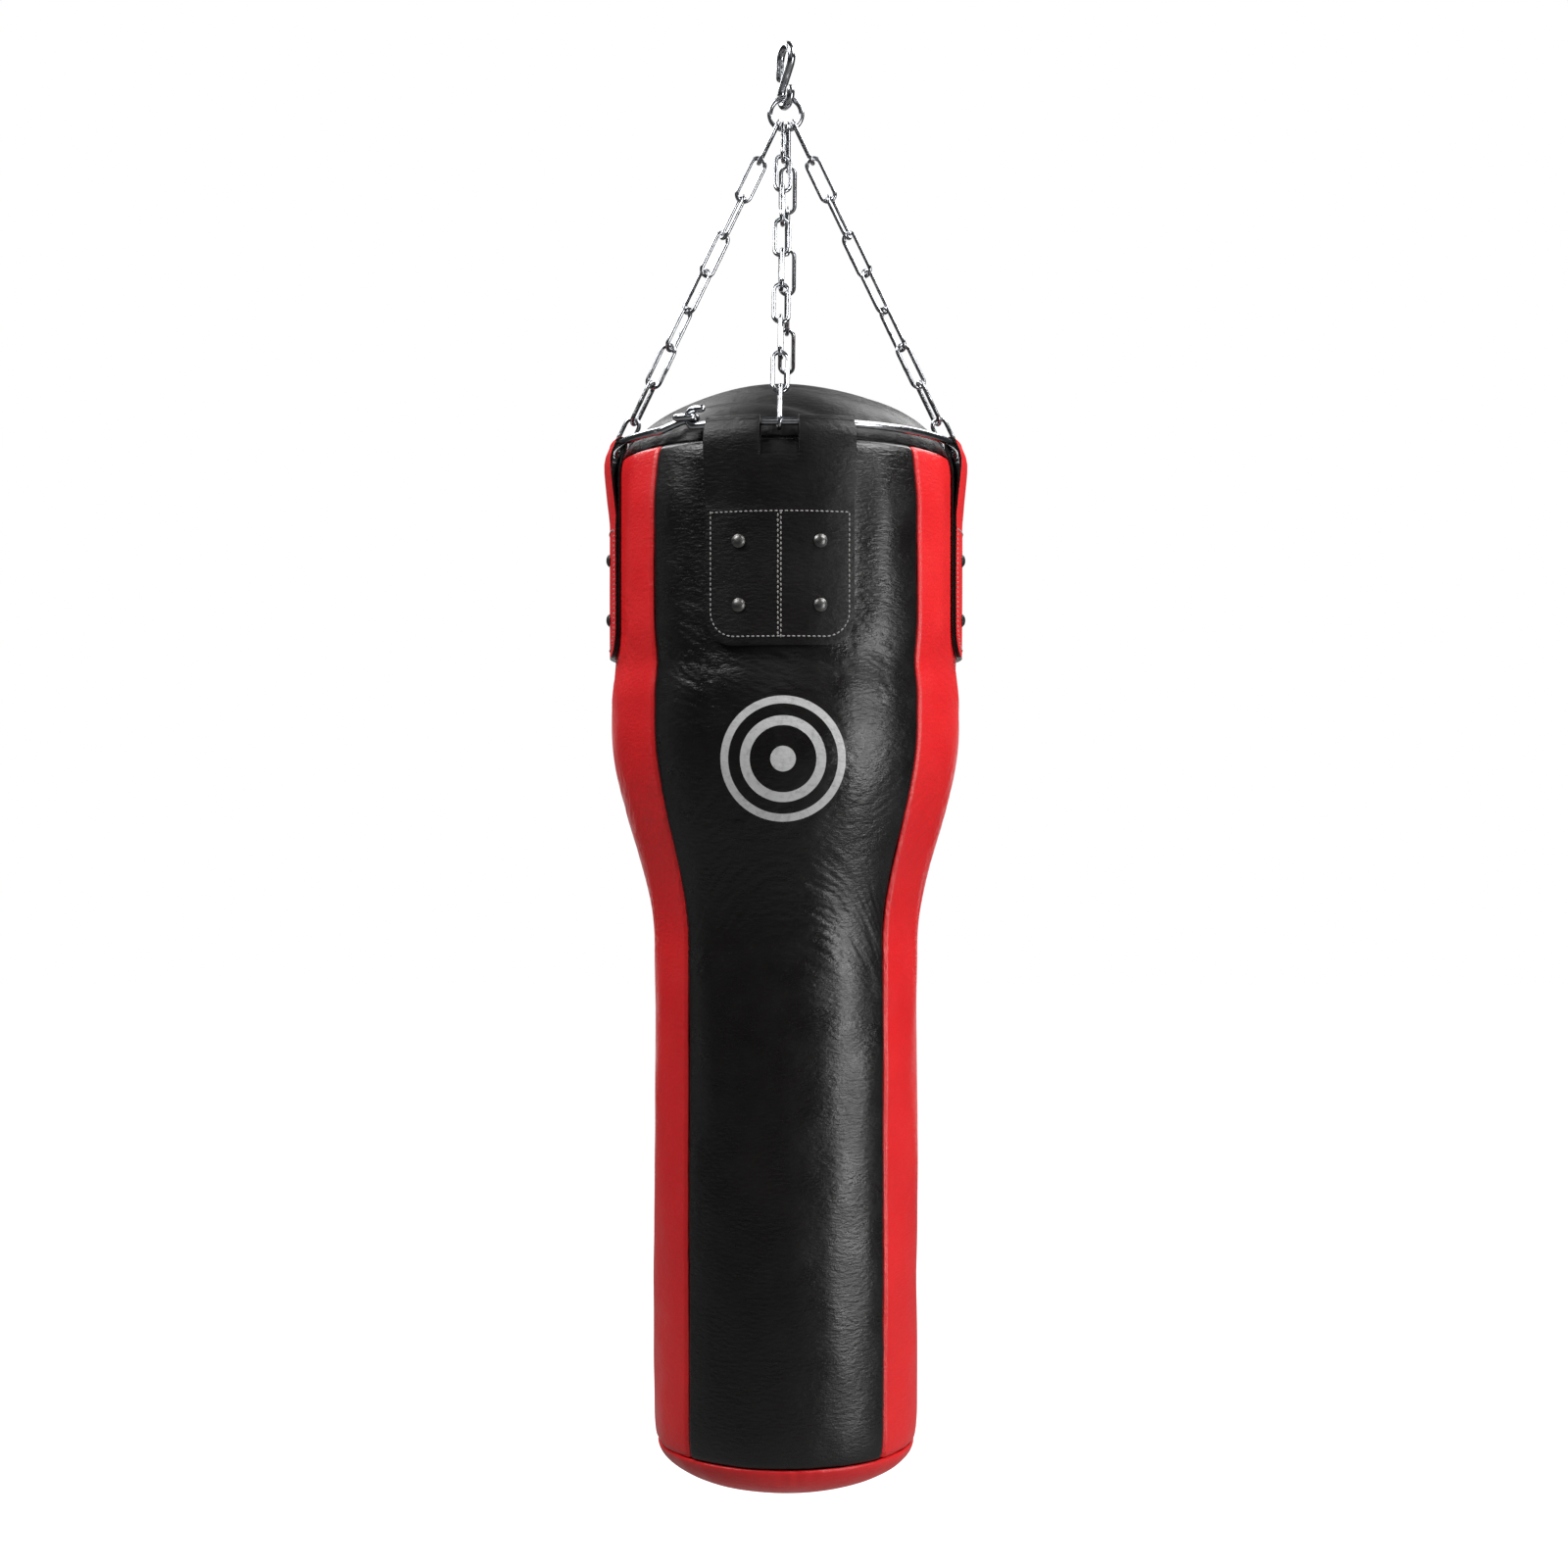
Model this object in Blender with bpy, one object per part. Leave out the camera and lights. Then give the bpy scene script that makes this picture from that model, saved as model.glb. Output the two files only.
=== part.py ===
"""Uppercut bag: a padded leather bag hung by four chains from an S-hook.

Run with: blender --background --python part.py
Metres, +Z up, front towards -Y. The origin is the inner saddle of the hook's
upper loop, the point by which the whole bag hangs.
"""
import math

import bmesh
import bpy
from mathutils import Matrix, Vector

MM = 0.001
GAP = 0.3 * MM                 # clearance between pieces that lie on each other

# S-hook, bent from one rod in an upright plane
HOOK_ROD = 4.5 * MM            # rod radius
HOOK_UPPER_BEND = 14.5 * MM    # centreline radius of the upper loop
HOOK_LOWER_BEND = 12.5 * MM
HOOK_LENGTH = 66.1 * MM        # rod centre at the top to rod centre at the bottom
HOOK_TAIL = 20.0 * MM          # straight end behind the upper loop
HOOK_TIP_ANGLE = math.radians(22)
HOOK_TURN = math.radians(25)   # the hook's plane, turned about Z from the YZ plane

# Collecting ring
RING_ROD = 3.0 * MM
RING_RADIUS = 17.5 * MM        # centreline
RING_PLAY = 1.1 * MM           # on the hook, so that the ring can swing
SIDE_LINK_LEAD = math.radians(8.4)   # the side chains lie this much further round than they lean

# Chains
LINKS_PER_CHAIN = 9
LINK_WIRE = 2.25 * MM          # wire radius
LINK_PITCH = 46.35 * MM        # inner length
LINK_INNER_WIDTH = 11.0 * MM
LINK_PLAY = 0.75 * MM          # gap between the links of the front chain
FRONT_LINK_OFFSET = LINK_WIRE + 0.35 * MM   # front and back chains lie side by side
SWING_LEVEL = 0.65             # where the bag's swing line lies, from the side links to the lowest

# Bag body, measured down from the hoop's plane
WALL = 3.0 * MM                # leather thickness
SEAT_RADIUS = 187.2 * MM       # under the straps
BELLY_BULGE = 4.0 * MM         # below the straps, over the seat
LOWER_RADIUS = 144.6 * MM
LIP_DROP = 14.0 * MM           # top edge of the panels
LIP_HEIGHT = 24.0 * MM         # height over which that edge rounds in
LIP_INSET = 7.0 * MM
BELLY_RISE = 30.0 * MM         # height of the step from the seat to the belly
BELLY_HEIGHT = 38.0 * MM
SLOPE_HEIGHT = 240.0 * MM
BODY_LENGTH = 1080.0 * MM      # hoop to the bottom seam
BOTTOM_DEPTH = 50.0 * MM
COVER_HEIGHT = 69.0 * MM       # top of the domed cover above the hoop
COVER_SKIRT = 45.0 * MM        # depth of the dome's own centre below the hoop
COVER_INSET = 3.2 * MM         # the dome's own radius, inside the seat
COVER_POWER = 2.2
FOAM_THICKNESS = 12.0 * MM
FILL_HEADROOM = 6.0 * MM

# Hoop that the chains and the straps share
HOOP_ROD = 4.0 * MM
HOOP_INSET = 0.2 * MM          # centreline, inside the seat
HOOP_JOINT_SPACE = 15.8 * MM   # from the front strap's edge to the hooked joint
HOOP_BEND = 2 * HOOP_ROD + 0.5 * MM   # centreline radius of its two hooked ends
HOOP_END = 8.0 * MM            # straight tip of each hooked end

# Folded straps
STRAP_LEATHER = 3.0 * MM
STRAP_LENGTH = 228.0 * MM      # hoop to the lower edge
STRAP_WIDTH = 157.0 * MM       # along the curve
STRAP_CORNER = 30.0 * MM
STRAP_BULGE = 10.8 * MM        # how far the front leaf stands off just under the hoop
STRAP_BULGE_DROP = 16.0 * MM
STRAP_BULGE_END = 80.0 * MM
NOTCH_WIDTH = 40.0 * MM
NOTCH_DEPTH = 40.0 * MM
STRAPS = {"front": -2.0, "right": 94.0, "back": 180.0, "left": -94.0}   # degrees

# Rivets: head outside, plate inside the leather
RIVET_HEAD = 7.0 * MM
RIVET_HEAD_HEIGHT = 3.6 * MM
RIVET_SHANK = 2.0 * MM
RIVET_HOLE = 2.5 * MM
RIVET_SPREAD = 42.0 * MM       # from the strap's middle
RIVET_DROPS = (122.0 * MM, 187.0 * MM)
PLATE_THICKNESS = 2.0 * MM
PLATE_MARGIN = 10.0 * MM

FACETS = 40                    # flat sides of every turned shape
FACET = math.tau / FACETS
FOLD_STEPS = 6                 # flats of a strap's fold over the hoop
# How the rear leaf leans in over the panels' edge, as shares of its height and of its lean
REAR_FOLD = ((0.36, 0.12), (0.59, 0.42), (0.80, 0.83))

# Radii and heights worked out from the sizes above
HOOP_RADIUS = SEAT_RADIUS - HOOP_INSET
COVER_RADIUS = SEAT_RADIUS - COVER_INSET
BELLY_RADIUS = SEAT_RADIUS + BELLY_BULGE
HOOK_TOP = HOOK_ROD
HOOK_BOTTOM = HOOK_TOP - HOOK_LENGTH
RING_TOP = HOOK_BOTTOM + HOOK_ROD + RING_ROD + RING_PLAY
RING_CENTRE = RING_TOP - RING_RADIUS


def on_ring(sideways):
    """Centre of the ring's rod below the ring's middle, at a sideways offset."""
    return Vector((sideways, 0, RING_CENTRE - math.sqrt(RING_RADIUS ** 2 - sideways ** 2)))


def chain_reach(play):
    """Distance from ring rod to hoop rod along a chain with this play at each contact."""
    return LINKS_PER_CHAIN * LINK_PITCH - (LINKS_PER_CHAIN + 1) * play - RING_ROD - HOOP_ROD


def place(angle, radius, z):
    """A point of a turned shape. Angle 0 is the front, positive towards +X.

    The shape has flat sides, and radius is that of their corners."""
    across = angle % FACET - FACET / 2
    flat = radius * math.cos(FACET / 2) / math.cos(across)
    return Vector((flat * math.sin(angle), -flat * math.cos(angle), z))


def hoop_height():
    """Height of the hoop's plane: the front chain's reach down from the ring."""
    top = on_ring(-FRONT_LINK_OFFSET)
    foot = place(math.radians(STRAPS["front"]), HOOP_RADIUS, 0)
    level = math.hypot(foot.x - top.x, foot.y - top.y)
    return top.z - math.sqrt(chain_reach(LINK_PLAY) ** 2 - level ** 2)


HOOP_Z = hoop_height()
CHAIN_LEAN = math.asin(HOOP_RADIUS / chain_reach(LINK_PLAY))
SIDE_LINK_OFFSET = RING_RADIUS * math.sin(CHAIN_LEAN + SIDE_LINK_LEAD)
SWING_Z = SWING_LEVEL * on_ring(0).z + (1 - SWING_LEVEL) * on_ring(SIDE_LINK_OFFSET).z
SEAT_END = STRAP_LENGTH + 4.0 * MM
BELLY_TOP = SEAT_END + BELLY_RISE
SLOPE_TOP = BELLY_TOP + BELLY_HEIGHT
SLOPE_END = SLOPE_TOP + SLOPE_HEIGHT
LINER_INSET = WALL + GAP + PLATE_THICKNESS + GAP
FILL_INSET = LINER_INSET + FOAM_THICKNESS + GAP
STRAP_REAR = SEAT_RADIUS + GAP                    # inner face of the rear leaf
STRAP_FRONT = STRAP_REAR + STRAP_LEATHER + GAP    # inner face of the front leaf
STRAP_FACE = STRAP_FRONT + STRAP_LEATHER
STRAP_HALF = STRAP_WIDTH / 2 / STRAP_FACE
RIVET_ANGLE = RIVET_SPREAD / STRAP_FACE
HOOP_JOINT_ANGLE = math.radians(STRAPS["front"]) - STRAP_HALF - HOOP_JOINT_SPACE / HOOP_RADIUS


# ---------------------------------------------------------------- materials

def material(name, colour, roughness, metallic=0.0):
    made = bpy.data.materials.new(name)
    made.use_nodes = True
    shader = made.node_tree.nodes["Principled BSDF"]
    shader.inputs["Base Color"].default_value = (*colour, 1.0)
    shader.inputs["Roughness"].default_value = roughness
    shader.inputs["Metallic"].default_value = metallic
    return made


# ------------------------------------------------------------- mesh helpers

def make_object(name, mesh, stuff, pivot, location=(0, 0, 0)):
    """An object under a pivot empty, at a place given in world coordinates."""
    if not mesh.materials:
        mesh.materials.append(stuff)
    made = bpy.data.objects.new(name, mesh)
    bpy.context.scene.collection.objects.link(made)
    made.parent = pivot
    made.location = Vector(location) - pivot.location
    return made


def solid_mesh(name, build):
    """Mesh from a bmesh that is one closed body, its faces turned outwards."""
    bmesh.ops.remove_doubles(build, verts=build.verts, dist=1e-7)
    bmesh.ops.recalc_face_normals(build, faces=build.faces)
    mesh = bpy.data.meshes.new(name)
    build.to_mesh(mesh)
    build.free()
    mesh.shade_smooth()
    mesh.set_sharp_from_angle(angle=math.radians(40))
    return mesh


def add_grid(build, rows, close_rows=False, close_columns=False):
    """Faces over rows of points; returns the vertices row by row."""
    grid = [[build.verts.new(point) for point in row] for row in rows]
    across = len(rows[0])
    for i in range(len(rows) if close_rows else len(rows) - 1):
        low, high = grid[i], grid[(i + 1) % len(rows)]
        for j in range(across if close_columns else across - 1):
            k = (j + 1) % across
            build.faces.new((low[j], low[k], high[k], high[j]))
    return grid


def rod(name, path, radius, sides, side_axis, closed=False):
    """A round rod along a path. side_axis starts the frame of its cross-section."""
    build = bmesh.new()
    rows = []
    count = len(path)
    side = Vector(side_axis)
    for i, point in enumerate(path):
        before = path[i - 1] if closed or i else point
        after = path[(i + 1) % count] if closed or i < count - 1 else point
        along = (after - before).normalized()
        side = (side - along * side.dot(along)).normalized()
        other = along.cross(side)
        turns = (math.tau * k / sides for k in range(sides))
        rows.append([point + radius * (math.cos(t) * side + math.sin(t) * other) for t in turns])
    grid = add_grid(build, rows, close_rows=closed, close_columns=True)
    if not closed:
        build.faces.new(grid[0])
        build.faces.new(grid[-1])
    return solid_mesh(name, build)


def arc(centre, radius, start, stop, steps):
    """Points (across, up) on an arc, both ends included; angles in radians."""
    turns = (start + (stop - start) * k / steps for k in range(steps + 1))
    return [(centre[0] + radius * math.cos(t), centre[1] + radius * math.sin(t)) for t in turns]


def sector_angles(start, stop):
    """The two end angles and every corner of the flat sides between them."""
    first = math.floor(start / FACET + 1e-6) + 1
    last = math.ceil(stop / FACET - 1e-6) - 1
    return [start] + [k * FACET for k in range(first, last + 1)] + [stop]


def turned_sector(name, outline, start, stop):
    """A closed outline of (radius, z) turned from one angle to another."""
    build = bmesh.new()
    rows = [[place(a, r, z) for r, z in outline] for a in sector_angles(start, stop)]
    grid = add_grid(build, rows, close_columns=True)
    for end in (grid[0], grid[-1]):
        bmesh.ops.triangle_fill(build, use_beauty=True, edges=ring_edges(build, end))
    return solid_mesh(name, build)


def ring_edges(build, loop):
    pairs = zip(loop, loop[1:] + loop[:1])
    return [build.edges.get(pair) for pair in pairs]


def turned_tube(name, outline, coarse=1):
    """A closed outline of (radius, z) turned all the way round.

    A coarse shape uses only some of the corners, such as every second one."""
    build = bmesh.new()
    corners = range(0, FACETS, coarse)
    rows = [[place(k * FACET, r, z) for r, z in outline] for k in corners]
    add_grid(build, rows, close_rows=True, close_columns=True)
    return solid_mesh(name, build)


def turned_solid(name, outline, coarse=1):
    """An open outline of (radius, z), whose two ends lie on the axis, turned round."""
    build = bmesh.new()
    corners = range(0, FACETS, coarse)
    rows = [[place(k * FACET, r, z) for r, z in outline[1:-1]] for k in corners]
    grid = add_grid(build, rows, close_rows=True)
    for index, (_, z) in ((0, outline[0]), (-1, outline[-1])):
        tip = build.verts.new((0, 0, z))
        for k, column in enumerate(grid):
            build.faces.new((tip, column[index], grid[(k + 1) % len(grid)][index]))
    return solid_mesh(name, build)


def boolean(target, tool, operation):
    """Apply a Boolean with a tool object that is itself left out of the model."""
    tool.hide_render = True
    tool.display_type = "WIRE"
    change = target.modifiers.new(tool.name, "BOOLEAN")
    change.operation = operation
    change.solver = "EXACT"
    change.object = tool


def radial_frame(angle, radius, z):
    """Matrix whose Z axis points outwards at an angle, with X along the curve."""
    outward = Vector((math.sin(angle), -math.cos(angle), 0))
    along = Vector((math.cos(angle), math.sin(angle), 0))
    up = outward.cross(along)
    turn = Matrix((along, up, outward)).transposed().to_4x4()
    return Matrix.Translation(outward * radius + Vector((0, 0, z))) @ turn


# ------------------------------------------------------------ the bag's form

def ease(share):
    """Smooth step from 0 to 1."""
    return (1 - math.cos(math.pi * share)) / 2


def body_radius(drop):
    """Outer radius of the leather at a distance below the hoop."""
    if drop < LIP_DROP + LIP_HEIGHT:
        share = (LIP_DROP + LIP_HEIGHT - drop) / LIP_HEIGHT
        return SEAT_RADIUS - LIP_INSET * (1 - math.sqrt(max(0.0, 1 - share ** 2)))
    if drop <= SEAT_END:
        return SEAT_RADIUS
    if drop <= BELLY_TOP:
        return SEAT_RADIUS + (BELLY_RADIUS - SEAT_RADIUS) * ease((drop - SEAT_END) / BELLY_RISE)
    if drop <= SLOPE_TOP:
        return BELLY_RADIUS
    if drop <= SLOPE_END:
        share = (drop - SLOPE_TOP) / SLOPE_HEIGHT
        return BELLY_RADIUS + (LOWER_RADIUS - BELLY_RADIUS) * ease(share)
    return LOWER_RADIUS


def body_drops(top, bottom, lip_steps, slope_steps):
    """Distances below the hoop at which an outline along the body needs a point."""
    lip = [LIP_DROP + LIP_HEIGHT * k / lip_steps for k in range(lip_steps)]
    belly = [LIP_DROP + LIP_HEIGHT, SEAT_END, SEAT_END + BELLY_RISE / 2, BELLY_TOP]
    slope = [SLOPE_TOP + SLOPE_HEIGHT * k / slope_steps for k in range(slope_steps + 1)]
    between = [d for d in lip + belly + slope if top < d < bottom]
    return [top] + between + [bottom]


def body_wall(outer_inset, inner_inset, top, bottom, lip_steps=3, slope_steps=6):
    """Closed outline of a layer of the body's wall, as (radius, z)."""
    drops = body_drops(top, bottom, lip_steps, slope_steps)
    outer = [(body_radius(d) - outer_inset, HOOP_Z - d) for d in drops]
    inner = [(body_radius(d) - inner_inset, HOOP_Z - d) for d in reversed(drops)]
    return outer + inner


def dome(radius, height, steps, from_share=0.0):
    """Points of the cover's dome from its edge to its apex, as (radius, height)."""
    points = []
    for k in range(steps + 1):
        turn = math.pi / 2 * (from_share + (1 - from_share) * k / steps)
        power = 2 / COVER_POWER
        across = radius * max(0.0, math.cos(turn)) ** power
        points.append((across, height * math.sin(turn) ** power))
    return points


def bowl(radius, depth, steps):
    """Points of the rounded bottom from its rim to its lowest point."""
    turns = (math.pi / 2 * k / steps for k in range(steps + 1))
    return [(radius * math.cos(t), -depth * math.sin(t)) for t in turns]


def shell_outline(outer, inner):
    """An open shell's outline: down the inside, then back up the outside."""
    return [(0.0, inner[-1][1])] + inner[-2::-1] + outer[:-1] + [(0.0, outer[-1][1])]


# ------------------------------------------------------------ metal fittings

def make_hook(stuff, pivot):
    """S-hook: the upper loop opens to the back, the lower one to the front."""
    upper = (0.0, HOOK_TOP - HOOK_UPPER_BEND)
    lower = (0.0, HOOK_BOTTOM + HOOK_LOWER_BEND)
    lean = math.asin((HOOK_UPPER_BEND + HOOK_LOWER_BEND) / (upper[1] - lower[1]))
    tail = [(-HOOK_UPPER_BEND, upper[1] - HOOK_TAIL)]
    loop = arc(upper, HOOK_UPPER_BEND, math.pi, -lean, 12)
    saddle = arc(lower, HOOK_LOWER_BEND, math.pi - lean, math.tau + HOOK_TIP_ANGLE, 12)
    forward = Vector((math.sin(HOOK_TURN), -math.cos(HOOK_TURN), 0))
    path = [forward * across + Vector((0, 0, up)) for across, up in tail + loop + saddle]
    normal = forward.cross(Vector((0, 0, 1)))
    centred = [point - pivot.location for point in path]
    mesh = rod("s_hook", centred, HOOK_ROD, 8, normal)
    make_object("s_hook", mesh, stuff, pivot, pivot.location)


def make_ring(stuff, pivot):
    steps = 20
    circle = arc((0.0, RING_CENTRE), RING_RADIUS, 0, math.tau * (1 - 1 / steps), steps - 1)
    path = [Vector((x, 0, z)) - pivot.location for x, z in circle]
    mesh = rod("collector_ring", path, RING_ROD, 6, (0, 1, 0), closed=True)
    make_object("collector_ring", mesh, stuff, pivot, pivot.location)


def link_mesh():
    """One oval link in its own XZ plane, its long way up Z."""
    bend = LINK_INNER_WIDTH / 2 + LINK_WIRE
    straight = (LINK_PITCH - LINK_INNER_WIDTH) / 2
    steps = 4
    top = arc((0.0, straight), bend, 0, math.pi, steps)
    bottom = arc((0.0, -straight), bend, math.pi, math.tau, steps)
    path = [Vector((x, 0, z)) for x, z in top + bottom]
    return rod("chain_link", path, LINK_WIRE, 6, (0, 1, 0), closed=True)


def make_chain(name, mesh, stuff, pivot, top, foot, first_side, twist):
    """Nine links from the ring to the hoop. Each turns a quarter and the twist."""
    along = (foot - top).normalized()
    slack = chain_reach(0) - (foot - top).length
    play = slack / (LINKS_PER_CHAIN + 1)
    side = (first_side - along * first_side.dot(along)).normalized()
    for k in range(LINKS_PER_CHAIN):
        start = k * (LINK_PITCH - play) - RING_ROD - play
        turn = Matrix.Rotation(k * (math.pi / 2 + twist), 3, along)
        across = turn @ side
        axes = Matrix((across, across.cross(along) * -1, along)).transposed()
        middle = top + along * (start + LINK_PITCH / 2)
        link = make_object(f"chain_{name}_{k + 1}", mesh, stuff, pivot, middle)
        link.rotation_euler = axes.to_euler()


def make_chains(stuff, pivot):
    mesh = link_mesh()
    offsets = {"front": -FRONT_LINK_OFFSET, "back": FRONT_LINK_OFFSET,
               "left": -SIDE_LINK_OFFSET, "right": SIDE_LINK_OFFSET}
    for name, offset in offsets.items():
        foot = place(math.radians(STRAPS[name]), HOOP_RADIUS, HOOP_Z)
        across_hoop = abs(math.sin(math.radians(STRAPS[name]))) > 0.5
        twist = math.pi / 2 / (LINKS_PER_CHAIN - 1) if across_hoop else 0.0
        if name == "left":
            twist = -twist
        make_chain(name, mesh, stuff, pivot, on_ring(offset), foot, Vector((0, 1, 0)), twist)


def make_hoop(stuff, pivot):
    """Open hoop whose two ends are bent into hooks that hold each other."""
    def point(along, radius, height):
        angle = HOOP_JOINT_ANGLE + along / HOOP_RADIUS
        return place(angle, radius, HOOP_Z + height) - pivot.location

    steps = 6
    upper = [point(HOOP_END, HOOP_RADIUS, 2 * HOOP_BEND)]
    upper += [point(-x, HOOP_RADIUS, HOOP_BEND + z)
              for x, z in arc((0, 0), HOOP_BEND, math.pi / 2, -math.pi / 2, steps)]
    second_centre = -(2 * HOOP_BEND - 2 * HOOP_ROD - GAP)
    ramp_end = second_centre - HOOP_END
    ramp_start = ramp_end - 4 * HOOP_BEND
    around = math.tau + HOOP_JOINT_ANGLE + ramp_start / HOOP_RADIUS
    corners = sector_angles(HOOP_JOINT_ANGLE + HOOP_END / HOOP_RADIUS, around)
    circle = [place(a, HOOP_RADIUS, HOOP_Z) - pivot.location for a in corners]
    ramp = []
    for k in range(1, steps):
        share = k / steps
        along = ramp_start + (ramp_end - ramp_start) * share
        ramp.append(point(along, HOOP_RADIUS - HOOP_BEND * ease(share), HOOP_BEND * ease(share)))
    ramp.append(point(ramp_end, HOOP_RADIUS - HOOP_BEND, HOOP_BEND))
    lower = [point(second_centre + x, HOOP_RADIUS + z, HOOP_BEND)
             for x, z in arc((0, 0), HOOP_BEND, -math.pi / 2, math.pi / 2, steps)]
    lower.append(point(second_centre - HOOP_END, HOOP_RADIUS + HOOP_BEND, HOOP_BEND))
    mesh = rod("hoop", upper + circle + ramp + lower, HOOP_ROD, 6, (0, 0, 1))
    make_object("hoop", mesh, stuff, pivot, pivot.location)


# ------------------------------------------------------------ straps, rivets

def fold_line(end_z):
    """Middle of the strap's leather, up the rear leaf, over the hoop and down."""
    half = STRAP_LEATHER / 2
    bend = (HOOP_ROD + GAP + half) / math.cos(math.pi / 2 / FOLD_STEPS)
    rear = STRAP_REAR + half
    inner = HOOP_RADIUS - bend
    lip_end = LIP_DROP + LIP_HEIGHT
    line = [(rear, end_z), (rear, HOOP_Z - lip_end)]
    for height, inward in REAR_FOLD:
        line.append((rear + (inner - rear) * inward, HOOP_Z - lip_end * (1 - height)))
    line += arc((HOOP_RADIUS, HOOP_Z), bend, math.pi, 0, FOLD_STEPS)
    front = STRAP_FRONT + half
    line.append((SEAT_RADIUS + STRAP_BULGE, HOOP_Z - STRAP_BULGE_DROP))
    middle = (STRAP_BULGE_DROP + STRAP_BULGE_END) / 2
    line.append((front + (SEAT_RADIUS + STRAP_BULGE - front) * 0.6, HOOP_Z - middle))
    line += [(front, HOOP_Z - STRAP_BULGE_END), (front, end_z)]
    return line


def thick_outline(line, half):
    """Closed outline at half a thickness on both sides of an open line."""
    left, right = [], []
    for i, (x, z) in enumerate(line):
        before = line[max(i - 1, 0)]
        after = line[min(i + 1, len(line) - 1)]
        first = Vector((x - before[0], z - before[1]))
        second = Vector((after[0] - x, after[1] - z))
        directions = [v.normalized() for v in (first, second) if v.length > 0]
        along = sum(directions, Vector((0, 0))).normalized()
        reach = half / along.dot(directions[0])
        left.append((x - along.y * reach, z + along.x * reach))
        right.append((x + along.y * reach, z - along.x * reach))
    return left + right[::-1]


def corner_rise(from_edge):
    """How far a rounded lower corner rises at a distance from the strap's edge."""
    inward = max(0.0, STRAP_CORNER - from_edge)
    return STRAP_CORNER - math.sqrt(max(0.0, STRAP_CORNER ** 2 - inward ** 2))


def make_strap(name, stuff, pivot):
    """Wide strap folded over the hoop, with a notch for the chain's last link."""
    middle = math.radians(STRAPS[name])
    start, stop = middle - STRAP_HALF, middle + STRAP_HALF
    corners = [STRAP_CORNER * share / STRAP_FACE for share in (0.12, 0.35)]
    angles = sector_angles(start, stop)
    angles += [start + c for c in corners] + [stop - c for c in corners]
    angles.sort()
    build = bmesh.new()
    rows = []
    for angle in angles:
        from_edge = min(angle - start, stop - angle) * STRAP_FACE
        end_z = HOOP_Z - STRAP_LENGTH + corner_rise(from_edge)
        outline = thick_outline(fold_line(end_z), STRAP_LEATHER / 2)
        rows.append([place(angle, r, z) - pivot.location for r, z in outline])
    grid = add_grid(build, rows, close_columns=True)
    for end in (grid[0], grid[-1]):
        bmesh.ops.triangle_fill(build, use_beauty=True, edges=ring_edges(build, end))
    mesh = solid_mesh(f"strap_{name}", build)
    strap = make_object(f"strap_{name}", mesh, stuff, pivot, pivot.location)
    boolean(strap, notch_cutter(name, middle, pivot), "DIFFERENCE")
    boolean(strap, pin_set(f"strap_holes_{name}", middle, RIVET_HOLE, pivot), "DIFFERENCE")
    return strap


def notch_cutter(name, middle, pivot):
    """Box through both leaves of the fold, from above it down to the notch's end."""
    height = NOTCH_DEPTH + 4 * HOOP_ROD
    build = bmesh.new()
    size = Matrix.Diagonal((NOTCH_WIDTH, height, 0.3 * HOOP_RADIUS, 1))
    spot = radial_frame(middle, HOOP_RADIUS, HOOP_Z - NOTCH_DEPTH + height / 2)
    bmesh.ops.create_cube(build, size=1, matrix=spot @ size)
    bmesh.ops.translate(build, verts=build.verts, vec=-pivot.location)
    mesh = solid_mesh(f"notch_{name}", build)
    return make_object(f"notch_{name}", mesh, None, pivot, pivot.location)


def rivet_spots(middle):
    """Angle and height of each of a strap's four rivets."""
    turns = (middle - RIVET_ANGLE, middle + RIVET_ANGLE)
    return [(angle, HOOP_Z - drop) for angle in turns for drop in RIVET_DROPS]


def pin_set(name, middle, radius, pivot):
    """Four radial pins through the strap and the panel, used to cut their holes."""
    build = bmesh.new()
    length = 40 * MM
    for angle, z in rivet_spots(middle):
        spot = radial_frame(angle, SEAT_RADIUS, z - pivot.location.z)
        bmesh.ops.create_cone(build, cap_ends=True, segments=8, radius1=radius,
                              radius2=radius, depth=length, matrix=spot)
    mesh = solid_mesh(name, build)
    return make_object(name, mesh, None, pivot, pivot.location)


def rivet_outline():
    """Rivet from its foot in the plate to the top of its head, as (radius, height)."""
    base = STRAP_FACE + 1.2 * GAP
    foot = SEAT_RADIUS - WALL - GAP - PLATE_THICKNESS / 2
    low = base + RIVET_HEAD_HEIGHT * 0.35
    high = base + RIVET_HEAD_HEIGHT * 0.85
    return [(0, foot), (RIVET_SHANK, foot), (RIVET_SHANK, base), (RIVET_HEAD, base),
            (RIVET_HEAD, low), (RIVET_HEAD * 0.6, high), (0, base + RIVET_HEAD_HEIGHT)]


def make_rivets(name, stuff, pivot):
    """Four rivets on the plate that backs them inside the leather."""
    middle = math.radians(STRAPS[name])
    outer = SEAT_RADIUS - WALL - GAP
    reach = RIVET_ANGLE + PLATE_MARGIN / STRAP_FACE
    top = HOOP_Z - RIVET_DROPS[0] + PLATE_MARGIN
    bottom = HOOP_Z - RIVET_DROPS[1] - PLATE_MARGIN
    inner = outer - PLATE_THICKNESS
    outline = [(outer, top), (outer, bottom), (inner, bottom), (inner, top)]
    mesh = turned_sector(f"rivets_{name}", outline, middle - reach, middle + reach)
    mesh.transform(Matrix.Translation(-pivot.location))
    plate = make_object(f"rivets_{name}", mesh, stuff, pivot, pivot.location)
    build = bmesh.new()
    sides = 8
    for angle, z in rivet_spots(middle):
        frame = radial_frame(angle, 0, z - pivot.location.z)
        add_turned_pin(build, rivet_outline(), frame, sides)
    pins = make_object(f"pins_{name}", solid_mesh(f"pins_{name}", build), None, pivot,
                       pivot.location)
    boolean(plate, pins, "UNION")


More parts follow.
